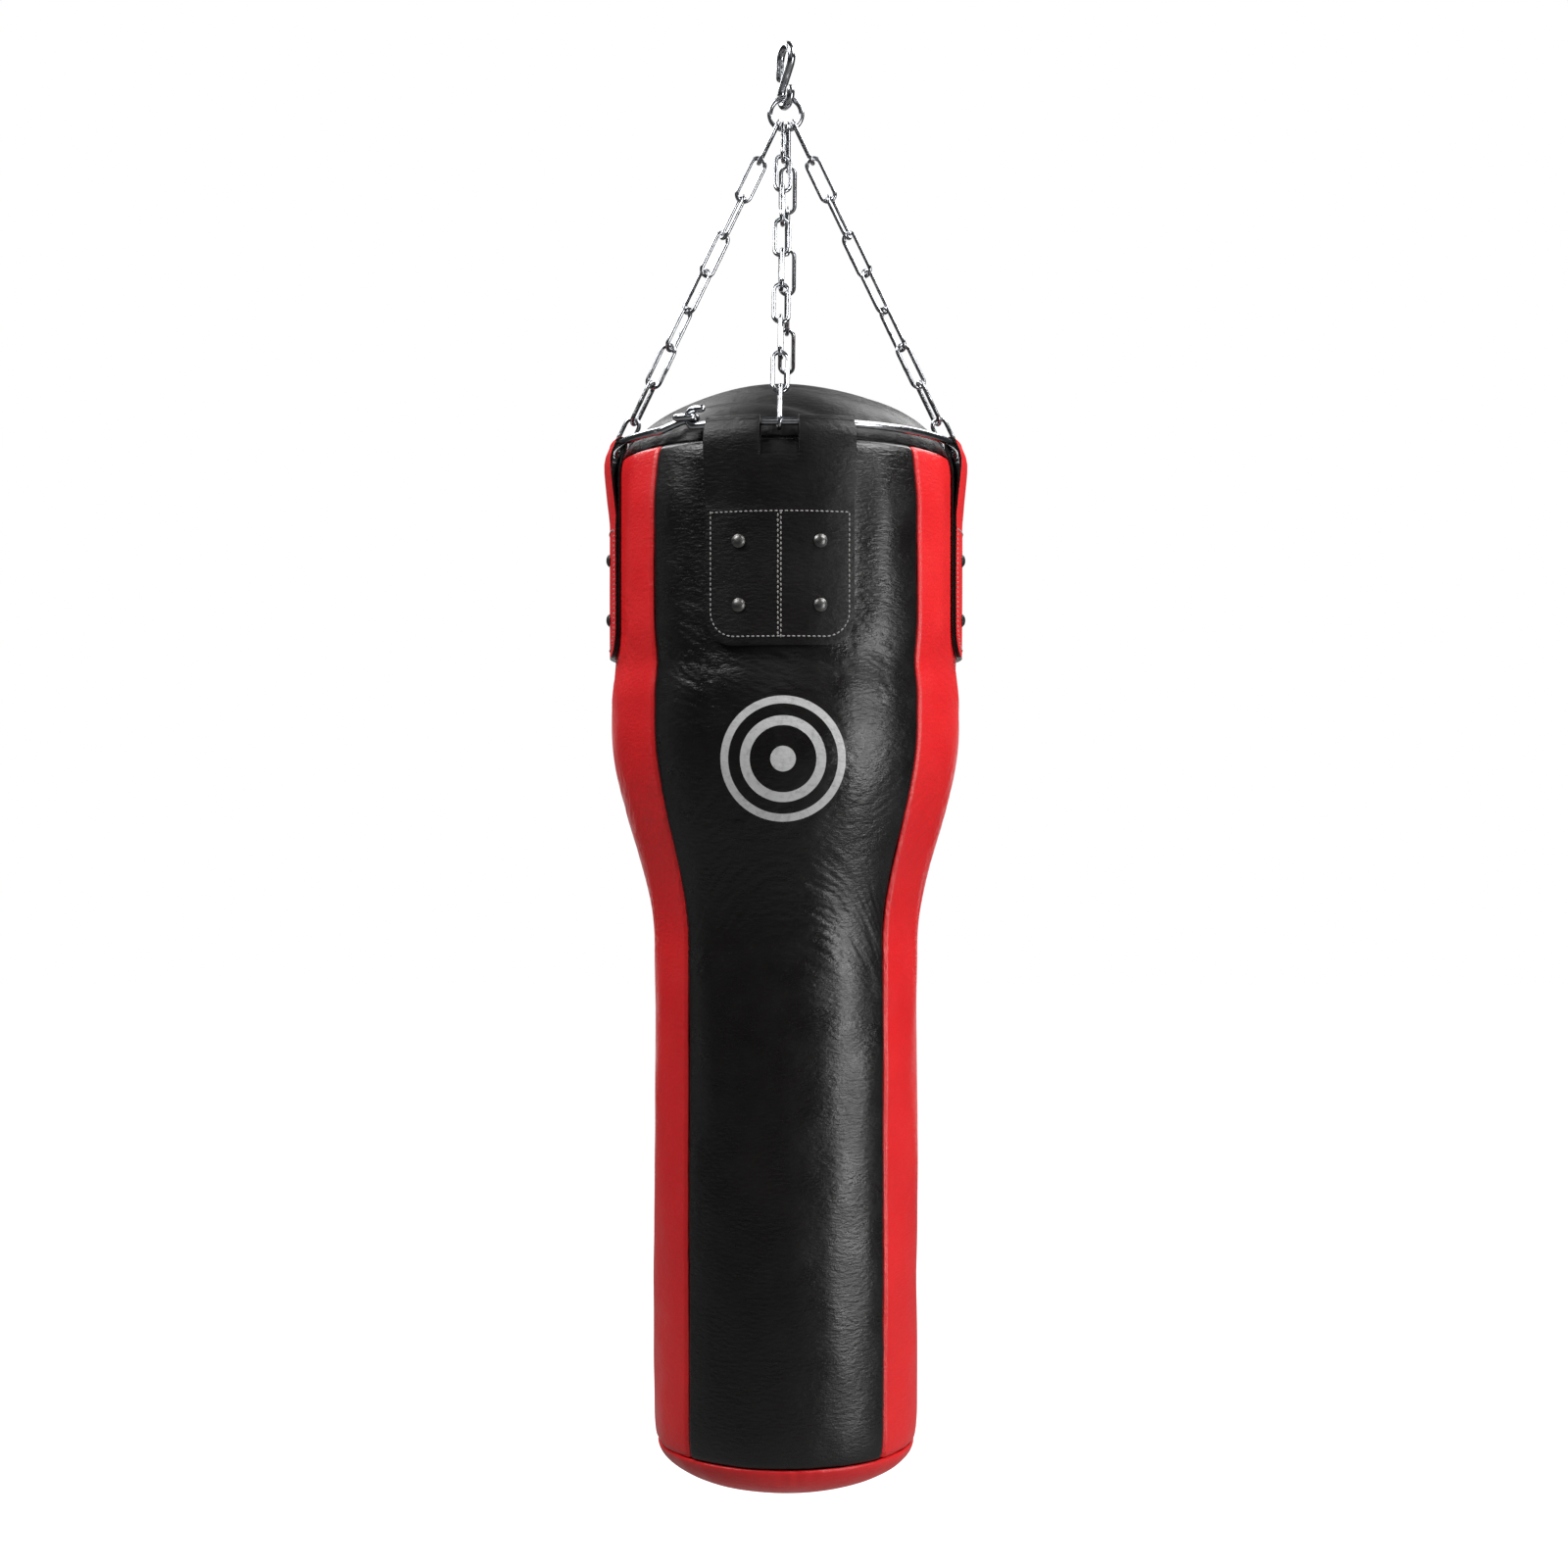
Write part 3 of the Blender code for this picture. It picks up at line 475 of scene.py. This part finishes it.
def link_mesh():
    """Long oval link with a small swollen weld in one of its sides."""
    bend = LINK_INNER_WIDTH / 2 + LINK_WIRE
    straight = (LINK_PITCH - LINK_INNER_WIDTH) / 2
    side = [straight * (1 - 2 * k / 12) for k in range(1, 12)]
    top = arc((0.0, straight), bend, 0, math.pi, 14)
    bottom = arc((0.0, -straight), bend, math.pi, math.tau, 14)
    outline = top + [(-bend, z) for z in side] + bottom + [(bend, -z) for z in side]
    path = [Vector((x, 0, z)) for x, z in outline]
    radii = [LINK_WIRE + LINK_WELD * math.exp(-(p.z / (2.6 * MM)) ** 2) * (p.x > 0)
             for p in path]
    mesh = rod_mesh("chain_link", path, radii, 14, (0, 1, 0), closed=True)
    mesh.materials.append(ZINC)
    outward_normals(mesh)
    return mesh


def node_axes(node):
    """A link's middle, its longest direction and its widest across that."""
    points = [v.co.copy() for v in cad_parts[node].data.vertices]
    middle = sum(points, Vector()) / len(points)
    far = max(points, key=lambda p: (p - middle).length)
    ends = [p for p in points if abs((p - middle).dot((far - middle).normalized())) > 0.02]
    along = sum(((p - middle) * (1 if (p - middle).dot(far - middle) > 0 else -1)
                 for p in ends), Vector()).normalized()
    flat = [(p - middle) - along * (p - middle).dot(along) for p in points]
    across = max(flat, key=lambda p: p.length)
    side = [p for p in flat if p.dot(across) > 0.8 * across.length ** 2]
    across = sum(side, Vector()).normalized()
    return middle, along, across


def make_chains():
    mesh = link_mesh()
    for node in sorted(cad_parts):
        if not node.startswith("chain_"):
            continue
        middle, along, across = node_axes(node)
        link = bpy.data.objects.new(node + "_steel", mesh)
        bpy.context.scene.collection.objects.link(link)
        turn = Matrix((across, along.cross(across), along)).transposed().to_4x4()
        link.matrix_world = Matrix.Translation(middle) @ turn
        bpy.context.view_layer.update()
        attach(link, "bag")
        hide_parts(node)


def make_hoop():
    """Open hoop; its two hooked ends hold each other left of the front strap."""
    bend, tip, joint = HOOP_BEND, HOOP_END, HOOP_JOINT

    def point(along, radius, height):
        return around(joint + along / HOOP_RADIUS, radius, HOOP_Z + height)

    steps = 16
    upper = [point(tip, HOOP_RADIUS, 2 * bend), point(tip / 2, HOOP_RADIUS, 2 * bend)]
    upper += [point(-x, HOOP_RADIUS, bend + z)
              for x, z in arc((0, 0), bend, math.pi / 2, -math.pi / 2, steps)]
    second = -(2 * bend - 2 * HOOP_ROD - 0.3 * MM)
    ramp_end = second - tip
    ramp_start = ramp_end - 4 * bend
    start = joint + tip / HOOP_RADIUS
    stop = math.tau + joint + ramp_start / HOOP_RADIUS
    turns = 170
    circle = [around(start + (stop - start) * k / turns, HOOP_RADIUS, HOOP_Z)
              for k in range(turns + 1)]
    ramp = []
    for k in range(1, 13):
        share = k / 12
        along = ramp_start + (ramp_end - ramp_start) * share
        ramp.append(point(along, HOOP_RADIUS - bend * ease(share), bend * ease(share)))
    lower = [point(second + x, HOOP_RADIUS + z, bend)
             for x, z in arc((0, 0), bend, -math.pi / 2, math.pi / 2, steps)]
    lower += [point(second - tip / 2, HOOP_RADIUS + bend, bend),
              point(second - tip, HOOP_RADIUS + bend, bend)]
    path, radii = round_ends(upper + circle + ramp + lower, HOOP_ROD)
    mesh = rod_mesh("hoop_steel", path, radii, 16, (0, 0, 1))
    finish_piece("hoop_steel", mesh, ZINC, "bag", "hoop")


# --------------------------------------------------------------------- straps

def fold_line():
    """Middle of the leather from the rear leaf's lower end, over the hoop, to the front's.

    Both lower ends are at the strap's full length; rounded corners are cut later."""
    bend = HOOP_ROD + 0.3 * MM + LEATHER / 2
    inner = HOOP_RADIUS - bend
    rear = [(REAR, STRAP_END + (HOOP_Z - LIP - STRAP_END) * k / 12) for k in range(13)]
    for height, inward in ((0.30, 0.08), (0.59, 0.42), (0.80, 0.83)):
        rear.append((REAR + (inner - REAR) * inward, HOOP_Z - LIP * (1 - height)))
    over = arc((HOOP_RADIUS, HOOP_Z), bend, math.pi, 0, 6)
    front = [(BULGE, HOOP_Z - BULGE_DROP), (FRONT + (BULGE - FRONT) * 0.62, HOOP_Z - 46 * MM),
             (FRONT, HOOP_Z - BULGE_END)]
    below = HOOP_Z - BULGE_END
    front += [(FRONT, below + (STRAP_END - below) * k / 10) for k in range(1, 11)]
    return curve_through(rear + over + front, 3)


def corner_rise(v):
    """How far the rounded lower corner rises at a distance v from the strap's middle."""
    inward = max(0.0, abs(v) - (STRAP_WIDTH / 2 - STRAP_CORNER))
    return STRAP_CORNER - math.sqrt(max(0.0, STRAP_CORNER ** 2 - inward ** 2))


def leaf_wave(side, v, z):
    """Slow waves that keep the strap's leather from lying dead flat."""
    return 0.7 * MM * noise.noise(Vector((v * 14, z * 9, side * 3.1)))


def make_strap(name, index):
    """Folded strap with a notch over the chain, as a thick sheet with rounded edges."""
    middle = math.radians(SIDES[name])
    line = fold_line()
    half = STRAP_WIDTH / 2
    edge = [half * (1 - c) for c in (0, 0.01, 0.03, 0.06, 0.10, 0.15, 0.21, 0.28, 0.36, 0.45)]
    inner = [NOTCH_HALF * c for c in (1.8, 1.5, 1.2, 1.0, 0.75, 0.5, 0.25)]
    right = sorted(set(edge + inner), reverse=True)
    columns = [-v for v in right] + [0.0] + right[::-1]
    points = []
    for r, z in line:
        for v in columns:
            low = STRAP_END + corner_rise(v)
            cut = HOOP_Z - LIP
            height = z if z > cut else low + (z - STRAP_END) * (cut - low) / (cut - STRAP_END)
            wave = leaf_wave(index, v, height) if r > FRONT - MM and z < HOOP_Z - 60 * MM else 0
            points.append(around(middle + v / FACE, r + wave, height))
    width = len(columns)
    notch_z = HOOP_Z - NOTCH_DEPTH
    faces = []
    for face in grid_faces(len(line), width):
        spots = [(columns[i % width], line[i // width].y) for i in face]
        v = sum(s[0] for s in spots) / 4
        z = sum(s[1] for s in spots) / 4
        if abs(v) < NOTCH_HALF and z > notch_z:
            continue
        faces.append(face)
    stuff = [RED, STRAP_BLACK] if name in ("left", "right") else [STRAP_BLACK, STRAP_BLACK]
    strap = add_piece(f"strap_{name}_leather", points, faces, stuff, "bag", f"strap_{name}")
    facing = strap.data.polygons[len(strap.data.polygons) - width // 2]
    outward = around(middle, 1, 0)
    thick = strap.modifiers.new("thickness", "SOLIDIFY")
    thick.thickness = LEATHER - 0.1 * MM
    thick.offset = 0
    if facing.normal.dot(outward) < 0:
        strap.data.flip_normals()
    thick.material_offset = 1
    thick.material_offset_rim = 1
    bevel = strap.modifiers.new("edges", "BEVEL")
    bevel.width = 0.7 * MM
    bevel.segments = 3
    bevel.limit_method = "ANGLE"
    bevel.angle_limit = math.radians(50)
    apply_modifiers(strap)


def stitch_routes():
    """Rows of stitching on a strap, as lists of (across, z), each row run in order."""
    top = HOOP_Z - 92 * MM
    routes = []
    half, low, radius = STRAP_WIDTH / 2 - 6 * MM, STRAP_END + 9 * MM, STRAP_CORNER - 4 * MM
    right = [(half - radius + radius * math.sin(t), low + radius - radius * math.cos(t))
             for t in (math.pi / 2 * k / 10 for k in range(11))]
    left = [(-across, z) for across, z in reversed(right)]
    routes.append([(-half, top)] + left + right + [(half, top), (-half, top)])
    for across, start in ((-1.5 * MM, 4.4 * MM), (1.5 * MM, 1.8 * MM)):
        routes.append([(across, top - start), (across, low)])
    return routes


def along_route(route, step):
    """Points a fixed distance apart along a route."""
    points = [Vector(p) for p in route]
    spots, spare = [], 0.0
    for a, b in zip(points, points[1:]):
        length = (b - a).length
        reach = spare
        while reach < length:
            spots.append((a + (b - a) * (reach / length), (b - a).normalized()))
            reach += step
        spare = reach - length
    return spots


def front_leaf_radius(z):
    """Radius of the front leaf's outer face at a height, as fold_line makes it."""
    drop = HOOP_Z - z
    if drop > BULGE_END:
        return FACE
    return FACE + (BULGE - FRONT) * ease((BULGE_END - drop) / (BULGE_END - BULGE_DROP))


def make_stitching(name, index):
    """Thread in short raised stitches on a strap's outer face."""
    middle = math.radians(SIDES[name])
    build = bmesh.new()
    for route in stitch_routes():
        for spot, along in along_route(route, STITCH_STEP):
            v, z = spot
            wave = leaf_wave(index, v, z)
            angle = middle + v / FACE
            centre = around(angle, front_leaf_radius(z) + wave + 0.1 * MM, z)
            outward = around(angle, 1, 0)
            sideways = Vector((math.cos(angle), math.sin(angle), 0))
            run = sideways * along.x + Vector((0, 0, along.y))
            turn = Matrix((run, outward.cross(run), outward)).transposed().to_4x4()
            size = Matrix.Diagonal((*STITCH_SIZE, 1))
            bmesh.ops.create_icosphere(build, subdivisions=2, radius=1,
                                       matrix=Matrix.Translation(centre) @ turn @ size)
    mesh = bpy.data.meshes.new(f"strap_{name}_stitching")
    build.to_mesh(mesh)
    build.free()
    finish_piece(f"strap_{name}_stitching", mesh, THREAD, "bag")


def make_rivets(name):
    """Domed rivets with a thin rolled rim."""
    middle = math.radians(SIDES[name])
    sides = 28
    number = 0
    for side in (-1, 1):
        for drop in RIVET_DROPS:
            number += 1
            angle = middle + side * RIVET_SPREAD / FACE
            z = HOOP_Z - drop
            outward = around(angle, 1, 0)
            sideways = Vector((math.cos(angle), math.sin(angle), 0))
            base = around(angle, FACE + 0.25 * MM, z)
            points = [base + outward * RIVET_OUTLINE[0][1] * MM]
            for r, h in RIVET_OUTLINE[1:]:
                for k in range(sides):
                    turn = math.tau * k / sides
                    flat = sideways * math.cos(turn) + Vector((0, 0, math.sin(turn)))
                    points.append(base + flat * r * MM + outward * h * MM)
            rings = len(RIVET_OUTLINE) - 1
            faces = [tuple(1 + i for i in face) for face in grid_faces(rings, sides, False, True)]
            faces += [(0, 1 + (k + 1) % sides, 1 + k) for k in range(sides)]
            faces.append(tuple(1 + (rings - 1) * sides + k for k in range(sides)))
            add_piece(f"rivet_{name}_{number}", points, faces, NICKEL, "bag", f"rivets_{name}")


# ------------------------------------------------------------------- bag body

def body_radius(drop):
    """The skin's plain radius at a distance below the hoop."""
    if drop < LIP:
        share = (LIP - drop) / LIP_HEIGHT
        return SEAT - LIP_INSET * (1 - math.sqrt(max(0.0, 1 - share ** 2)))
    if drop <= SEAT_END:
        return SEAT
    if drop <= BELLY_TOP:
        return SEAT + (BELLY - SEAT) * ease((drop - SEAT_END) / (BELLY_TOP - SEAT_END))
    if drop <= SLOPE_TOP:
        return BELLY
    return BELLY + (LOWER - BELLY) * ease((drop - SLOPE_TOP) / (SLOPE_END - SLOPE_TOP))


def nearest_strap(angle):
    """Distance along the curve from an angle to the nearest strap's edge, outside it."""
    best = 1.0
    for degrees in SIDES.values():
        apart = abs((angle - math.radians(degrees) + math.pi) % math.tau - math.pi)
        best = min(best, apart * FACE - STRAP_WIDTH / 2)
    return best


def shoulder_bulge(angle, drop):
    """Between the straps the filling pushes the skin out, a little past their faces."""
    outside = ease((nearest_strap(angle) - 2 * MM) / (45 * MM))
    down = ease((drop - 20 * MM) / (60 * MM)) * ease((SEAT_END + 20 * MM - drop) / (60 * MM))
    return 4.5 * MM * outside * down


def ridges(x, y, seed, sharpness=3.2):
    """Narrow folds where noise crosses nought; x and y are already in folds' widths."""
    value = noise.noise(Vector((x, y, seed)))
    return (1 - min(1.0, abs(value) * sharpness)) ** 2


def creases(angle, drop, seed):
    """Wrinkles in the skin: at the waist, beside the straps and in slow waves."""
    u, z = angle * 0.18, drop
    slow = 1.6 * MM * noise.noise(Vector((angle * 2.2, z * 5.5, seed)))
    lumps = 0.7 * MM * noise.noise(Vector((u * 26, z * 17, seed + 7)))
    patch = 0.35 + 0.65 * ease(0.5 + noise.noise(Vector((u * 13, z * 8, seed + 3))))
    wobble = 9 * MM * noise.noise(Vector((u * 20, z * 14, seed + 5)))
    total = slow + lumps
    waist = math.exp(-((drop - 500 * MM) / (62 * MM)) ** 2)
    if waist > 0.01:
        level = ridges(u * 14, (z + wobble - u * u * 6) * 100, seed + 11)
        total -= 1.1 * MM * waist * patch * level
    near = math.exp(-(max(0.0, nearest_strap(angle) - 26 * MM) / (26 * MM)) ** 2)
    beside = near * math.exp(-((drop - 225 * MM) / (90 * MM)) ** 2)
    if beside > 0.01:
        slanted = ridges((u + z) * 16, (z - u * 0.6 + wobble) * 105, seed + 19)
        total -= 1.0 * MM * beside * patch * slanted
    belly = math.exp(-((drop - 390 * MM) / (55 * MM)) ** 2)
    if belly > 0.01:
        diagonal = ridges((u - z) * 20, (z + u * 1.1 + wobble) * 62, seed + 29)
        total -= 0.8 * MM * belly * patch * diagonal
    return total


def skin_radius(angle, drop, seed):
    """The skin's radius with its bulges and wrinkles, which fade at the top edge."""
    plain = body_radius(drop)
    fade = ease((drop - 16 * MM) / (30 * MM))
    return plain + fade * (shoulder_bulge(angle, drop) + creases(angle, drop, seed))


def under_strap(angle, drop):
    """1 where a strap covers the skin, which then lies flat under it."""
    inside = ease((6 * MM - nearest_strap(angle)) / (8 * MM))
    return inside * ease((240 * MM - drop) / (12 * MM))


def make_panel(name, seed, stuff):
    """A quarter of the skin. Its long edges turn in to a seam; its ends do too."""
    middle = math.radians(PANELS[name])
    half = BLACK_HALF if name in ("front", "back") else math.pi / 2 - BLACK_HALF
    rows, columns = 480, 100
    top = HOOP_Z - PANEL_TOP
    bottom = HOOP_Z - SEAM_Z
    points = []
    for i in range(rows + 1):
        drop = top + (bottom - top) * i / rows
        z = HOOP_Z - drop
        plain = body_radius(drop)
        for j in range(columns + 1):
            share = 2 * j / columns - 1
            bent = share + 0.16 * share * (1 - share ** 2)
            angle = middle + half * bent
            radius = skin_radius(angle, drop, seed)
            radius += (plain - 0.2 * MM - radius) * under_strap(angle, drop)
            from_seam = plain * half * (1 - abs(bent))
            pucker = 0.5 * MM * noise.noise(Vector((z * 70, seed + math.copysign(5, share), 0)))
            dip = (SEAM_DIP + pucker) * (1 - ease(from_seam / SEAM_WIDTH))
            if bottom - drop < ROUND_START:
                turn = 1 - (bottom - drop) / ROUND_START
                arc_in = 1 - math.sqrt(1 - turn ** 2 * ROUND_REACH)
                dip += ROUND_OFF * arc_in / (1 - math.sqrt(1 - ROUND_REACH))
            end = min(drop - top, bottom - drop)
            dip += 1.6 * MM * (1 - ease(end / (5 * MM)))
            points.append(around(angle, radius - dip, z))
    faces = grid_faces(rows + 1, columns + 1)
    panel = add_piece(f"{name}_panel_skin", points, faces, stuff, "bag", f"{name}_panel")
    make_skin(panel, rows // 2 * columns + columns // 2, around(middle, 1, 0))


def dome_profile(steps):
    """The cover's plain outline from its edge to the top, as (radius, z)."""
    radius, skirt, power = SEAT - 3.2 * MM, 45.0 * MM, 2 / 2.2
    height = DOME_TOP - HOOP_Z + skirt
    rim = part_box("top_cover")[0][2]
    first = math.asin(((rim - HOOP_Z + skirt) / height) ** (1 / power))
    turns = (first + (math.pi / 2 - first) * k / steps for k in range(steps + 1))
    return [(radius * max(0.0, math.cos(t)) ** power,
             HOOP_Z - skirt + height * math.sin(t) ** power) for t in turns]


def make_cover():
    """Domed top of thin leather with soft folds and gathers at its edge."""
    profile = dome_profile(60)
    columns = 220
    points = []
    for radius, z in profile[:-1]:
        for j in range(columns):
            angle = math.tau * j / columns
            x, y = radius * math.sin(angle), -radius * math.cos(angle)
            share = radius / profile[0][0]
            slanted = ridges(x * 4.5 + y * 9, y * 3 - x * 2, 4.0, 2.6)
            folds = -9.0 * MM * slanted * ease(share * 1.3) * (1 - ease((share - 0.9) / 0.1))
            slow = 3.0 * MM * noise.noise(Vector((x * 9, y * 9, 2.0))) * ease(share * 3)
            gathers = 0.9 * MM * math.sin(angle * 46 + 3 * noise.noise(Vector((x * 20, y * 20, 1))))
            gathers *= ease((share - 0.86) / 0.14)
            z_out = z + (folds + slow) * (1 - share ** 6)
            rim_dip = 1.2 * MM * ease((share - 0.97) / 0.03)
            points.append(around(angle, radius + gathers * 0.5 - rim_dip, z_out + gathers * 0.4))
    points.append(Vector((0, 0, profile[-1][1] - 1 * MM)))
    faces = tipped_grid(len(profile) - 1, columns)
    cover = add_piece("top_cover_skin", points, faces, COVER_BLACK, "bag", "top_cover")
    make_skin(cover, len(cover.data.polygons) - 1, Vector((0, 0, 1)))


def make_bottom():
    """Rounded bottom, gathered a little where it meets the seam."""
    steps, columns = 48, 240
    depth = SEAM_Z - BOTTOM_Z
    points = []
    for k in range(steps):
        turn = math.pi / 2 * k / steps
        share = math.cos(turn)
        for j in range(columns):
            angle = math.tau * j / columns
            edge = ease((share - 0.72) / 0.28)
            gather = 0.45 * MM * math.sin(angle * 37 + 6 * math.sin(angle * 3)) * edge
            gather *= 0.5 + 0.5 * math.sin(angle * 7 + 1)
            slow = 1.3 * MM * noise.noise(Vector((math.sin(angle) * 2.4, math.cos(angle) * 2.4,
                                                  turn * 1.7)))
            dip = 1.8 * MM * (1 - ease(turn * LOWER / (5 * MM)))
            radius = (LOWER - ROUND_OFF) * share - dip + (gather + slow) * share
            points.append(around(angle, radius, SEAM_Z - 0.2 * MM - depth * math.sin(turn)))
    points.append(Vector((0, 0, BOTTOM_Z)))
    cap = add_piece("bottom_cap_skin", points, tipped_grid(steps, columns), RED, "bag", "bottom_cap")
    make_skin(cap, len(cap.data.polygons) - 1, Vector((0, 0, -1)))


def make_liner():
    """Foam sleeve behind the skin."""
    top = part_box("foam_liner")[1][2]
    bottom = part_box("foam_liner")[0][2]
    rows, columns = 60, 72
    outline = []
    for i in range(rows + 1):
        z = top + (bottom - top) * i / rows
        outline.append((body_radius(HOOP_Z - z) - FOAM_INSET, z))
    outline += [(r - FOAM_THICKNESS, z) for r, z in reversed(outline)]
    points = []
    for r, z in outline:
        for j in range(columns):
            angle = math.tau * j / columns
            dent = 0.6 * MM * noise.noise(Vector((angle * 4, z * 20, r * 40)))
            points.append(around(angle, r - 0.6 * MM + dent, z))
    faces = grid_faces(len(outline), columns, True, True)
    liner = add_piece("foam_liner_sleeve", points, faces, FOAM, "bag", "foam_liner")


def make_filling():
    """Packed textile, lumpy all over, domed at both ends."""
    low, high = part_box("textile_fill")
    top, bottom = high[2] - 3 * MM, low[2] + 3 * MM
    rows, columns = 130, 96
    points = [Vector((0, 0, top))]
    for i in range(1, rows):
        z = top + (bottom - top) * i / rows
        radius = body_radius(max(HOOP_Z - z, LIP)) - FILL_INSET
        for end, height in ((top, 95 * MM), (bottom, 40 * MM)):
            share = abs(end - z) / height
            if share < 1:
                radius *= math.sqrt(max(0.0, 1 - (1 - share) ** 2.2))
        for j in range(columns):
            angle = math.tau * j / columns
            lump = 3.0 * MM * noise.noise(Vector((math.sin(angle) * 4, math.cos(angle) * 4, z * 14)))
            shrink = min(1.0, radius / (20 * MM))
            points.append(around(angle, radius - 2.5 * MM * shrink + lump * shrink, z))
    points.append(Vector((0, 0, bottom)))
    faces = [tuple(1 + i for i in face) for face in grid_faces(rows - 1, columns, False, True)]
    last = 1 + (rows - 2) * columns
    faces += [(0, 1 + (j + 1) % columns, 1 + j) for j in range(columns)]
    faces += [(len(points) - 1, last + j, last + (j + 1) % columns) for j in range(columns)]
    filling = add_piece("textile_filling", points, faces, TEXTILE, "bag", "textile_fill")


# --------------------------------------------------------------- studio, camera

def add_area(name, azimuth, distance, height, size, power, aim_z):
    """Soft box that the camera doesn't see. Azimuth 0 is in front, positive to +X."""
    data = bpy.data.lights.new(name, "AREA")
    data.shape = "RECTANGLE"
    data.size, data.size_y = size
    data.energy = power
    lamp = bpy.data.objects.new(name, data)
    lamp.location = around(math.radians(azimuth), distance, height)
    aim = Vector((0, 0, aim_z)) - lamp.location
    lamp.rotation_euler = aim.to_track_quat("-Z", "Y").to_euler()
    lamp.visible_camera = False
    bpy.context.scene.collection.objects.link(lamp)


def make_studio():
    """Pale floor and world, both plain white to the camera, and eight soft boxes."""
    floor_z = CAD_BOX[0][2] - 0.28
    mesh = bpy.data.meshes.new("floor")
    wide = 12.0
    mesh.from_pydata([(-wide, -wide, floor_z), (wide, -wide, floor_z),
                      (wide, wide, floor_z), (-wide, wide, floor_z)], [], [(0, 1, 2, 3)])
    stuff, nodes, links, shader = new_material("floor_paint")
    tone = spread(nodes, links, object_noise(nodes, links, 0.6), 0.0, 1.0)
    links.new(blend_colours(nodes, links, tone, (0.24, 0.24, 0.24), (0.22, 0.22, 0.22)),
              shader.inputs["Base Color"])
    shader.inputs["Roughness"].default_value = 0.7
    shader.inputs["Emission Color"].default_value = (1, 1, 1, 1)
    seen = nodes.new("ShaderNodeLightPath")
    links.new(seen.outputs["Is Camera Ray"], shader.inputs["Emission Strength"])
    mesh.materials.append(stuff)
    floor = bpy.data.objects.new("floor", mesh)
    bpy.context.scene.collection.objects.link(floor)

    world = bpy.data.worlds.new("studio")
    world.use_nodes = True
    nodes, links = world.node_tree.nodes, world.node_tree.links
    dim = nodes["Background"]
    dim.inputs["Color"].default_value = (0.9, 0.95, 1.0, 1)
    dim.inputs["Strength"].default_value = 0.05
    bright = nodes.new("ShaderNodeBackground")
    bright.inputs["Color"].default_value = (1, 1, 1, 1)
    bright.inputs["Strength"].default_value = 1.0
    ray = nodes.new("ShaderNodeLightPath")
    mix = nodes.new("ShaderNodeMixShader")
    links.new(ray.outputs["Is Camera Ray"], mix.inputs["Fac"])
    links.new(dim.outputs["Background"], mix.inputs[1])
    links.new(bright.outputs["Background"], mix.inputs[2])
    links.new(mix.outputs["Shader"], nodes["World Output"].inputs["Surface"])
    bpy.context.scene.world = world
    bpy.context.scene.view_settings.view_transform = "Standard"

    middle = -0.95
    add_area("key_right", 52, 2.9, -1.10, (0.65, 1.7), 44, middle)
    add_area("strip_left", -86, 2.9, -1.0, (0.15, 2.0), 1.4, middle)
    add_area("high_right", 68, 1.7, 1.3, (1.2, 1.2), 66, middle)
    add_area("high_left", -62, 1.7, 1.3, (1.2, 1.2), 66, middle)
    add_area("high_back_right", 142, 1.7, 1.1, (1.2, 1.2), 28, -1.2)
    add_area("high_back_left", -142, 1.7, 1.1, (1.2, 1.2), 28, -1.2)
    add_area("front_card", 0, 2.4, 0.5, (1.2, 1.3), 2.6, -0.25)
    add_area("low_back", 180, 3.2, -1.1, (3.0, 1.2), 12, middle)


def make_camera():
    data = bpy.data.cameras.new("camera")
    data.lens = 50
    data.sensor_width = 36
    data.shift_y = 0.033
    camera = bpy.data.objects.new("camera", data)
    camera.location = (-0.002, -2.4, -0.866)
    camera.rotation_euler = (math.pi / 2, 0, 0)
    bpy.context.scene.collection.objects.link(camera)
    bpy.context.scene.camera = camera


make_studio()
make_camera()
make_hook()
make_ring()
make_chains()
make_hoop()
for number, side_name in enumerate(SIDES):
    make_strap(side_name, number)
    make_stitching(side_name, number)
    make_rivets(side_name)
make_panel("front", 1.0, FRONT_BLACK)
make_panel("right", 12.0, RED)
make_panel("back", 23.0, BLACK)
make_panel("left", 34.0, RED)
make_cover()
make_bottom()
make_liner()
make_filling()

bpy.context.view_layer.update()
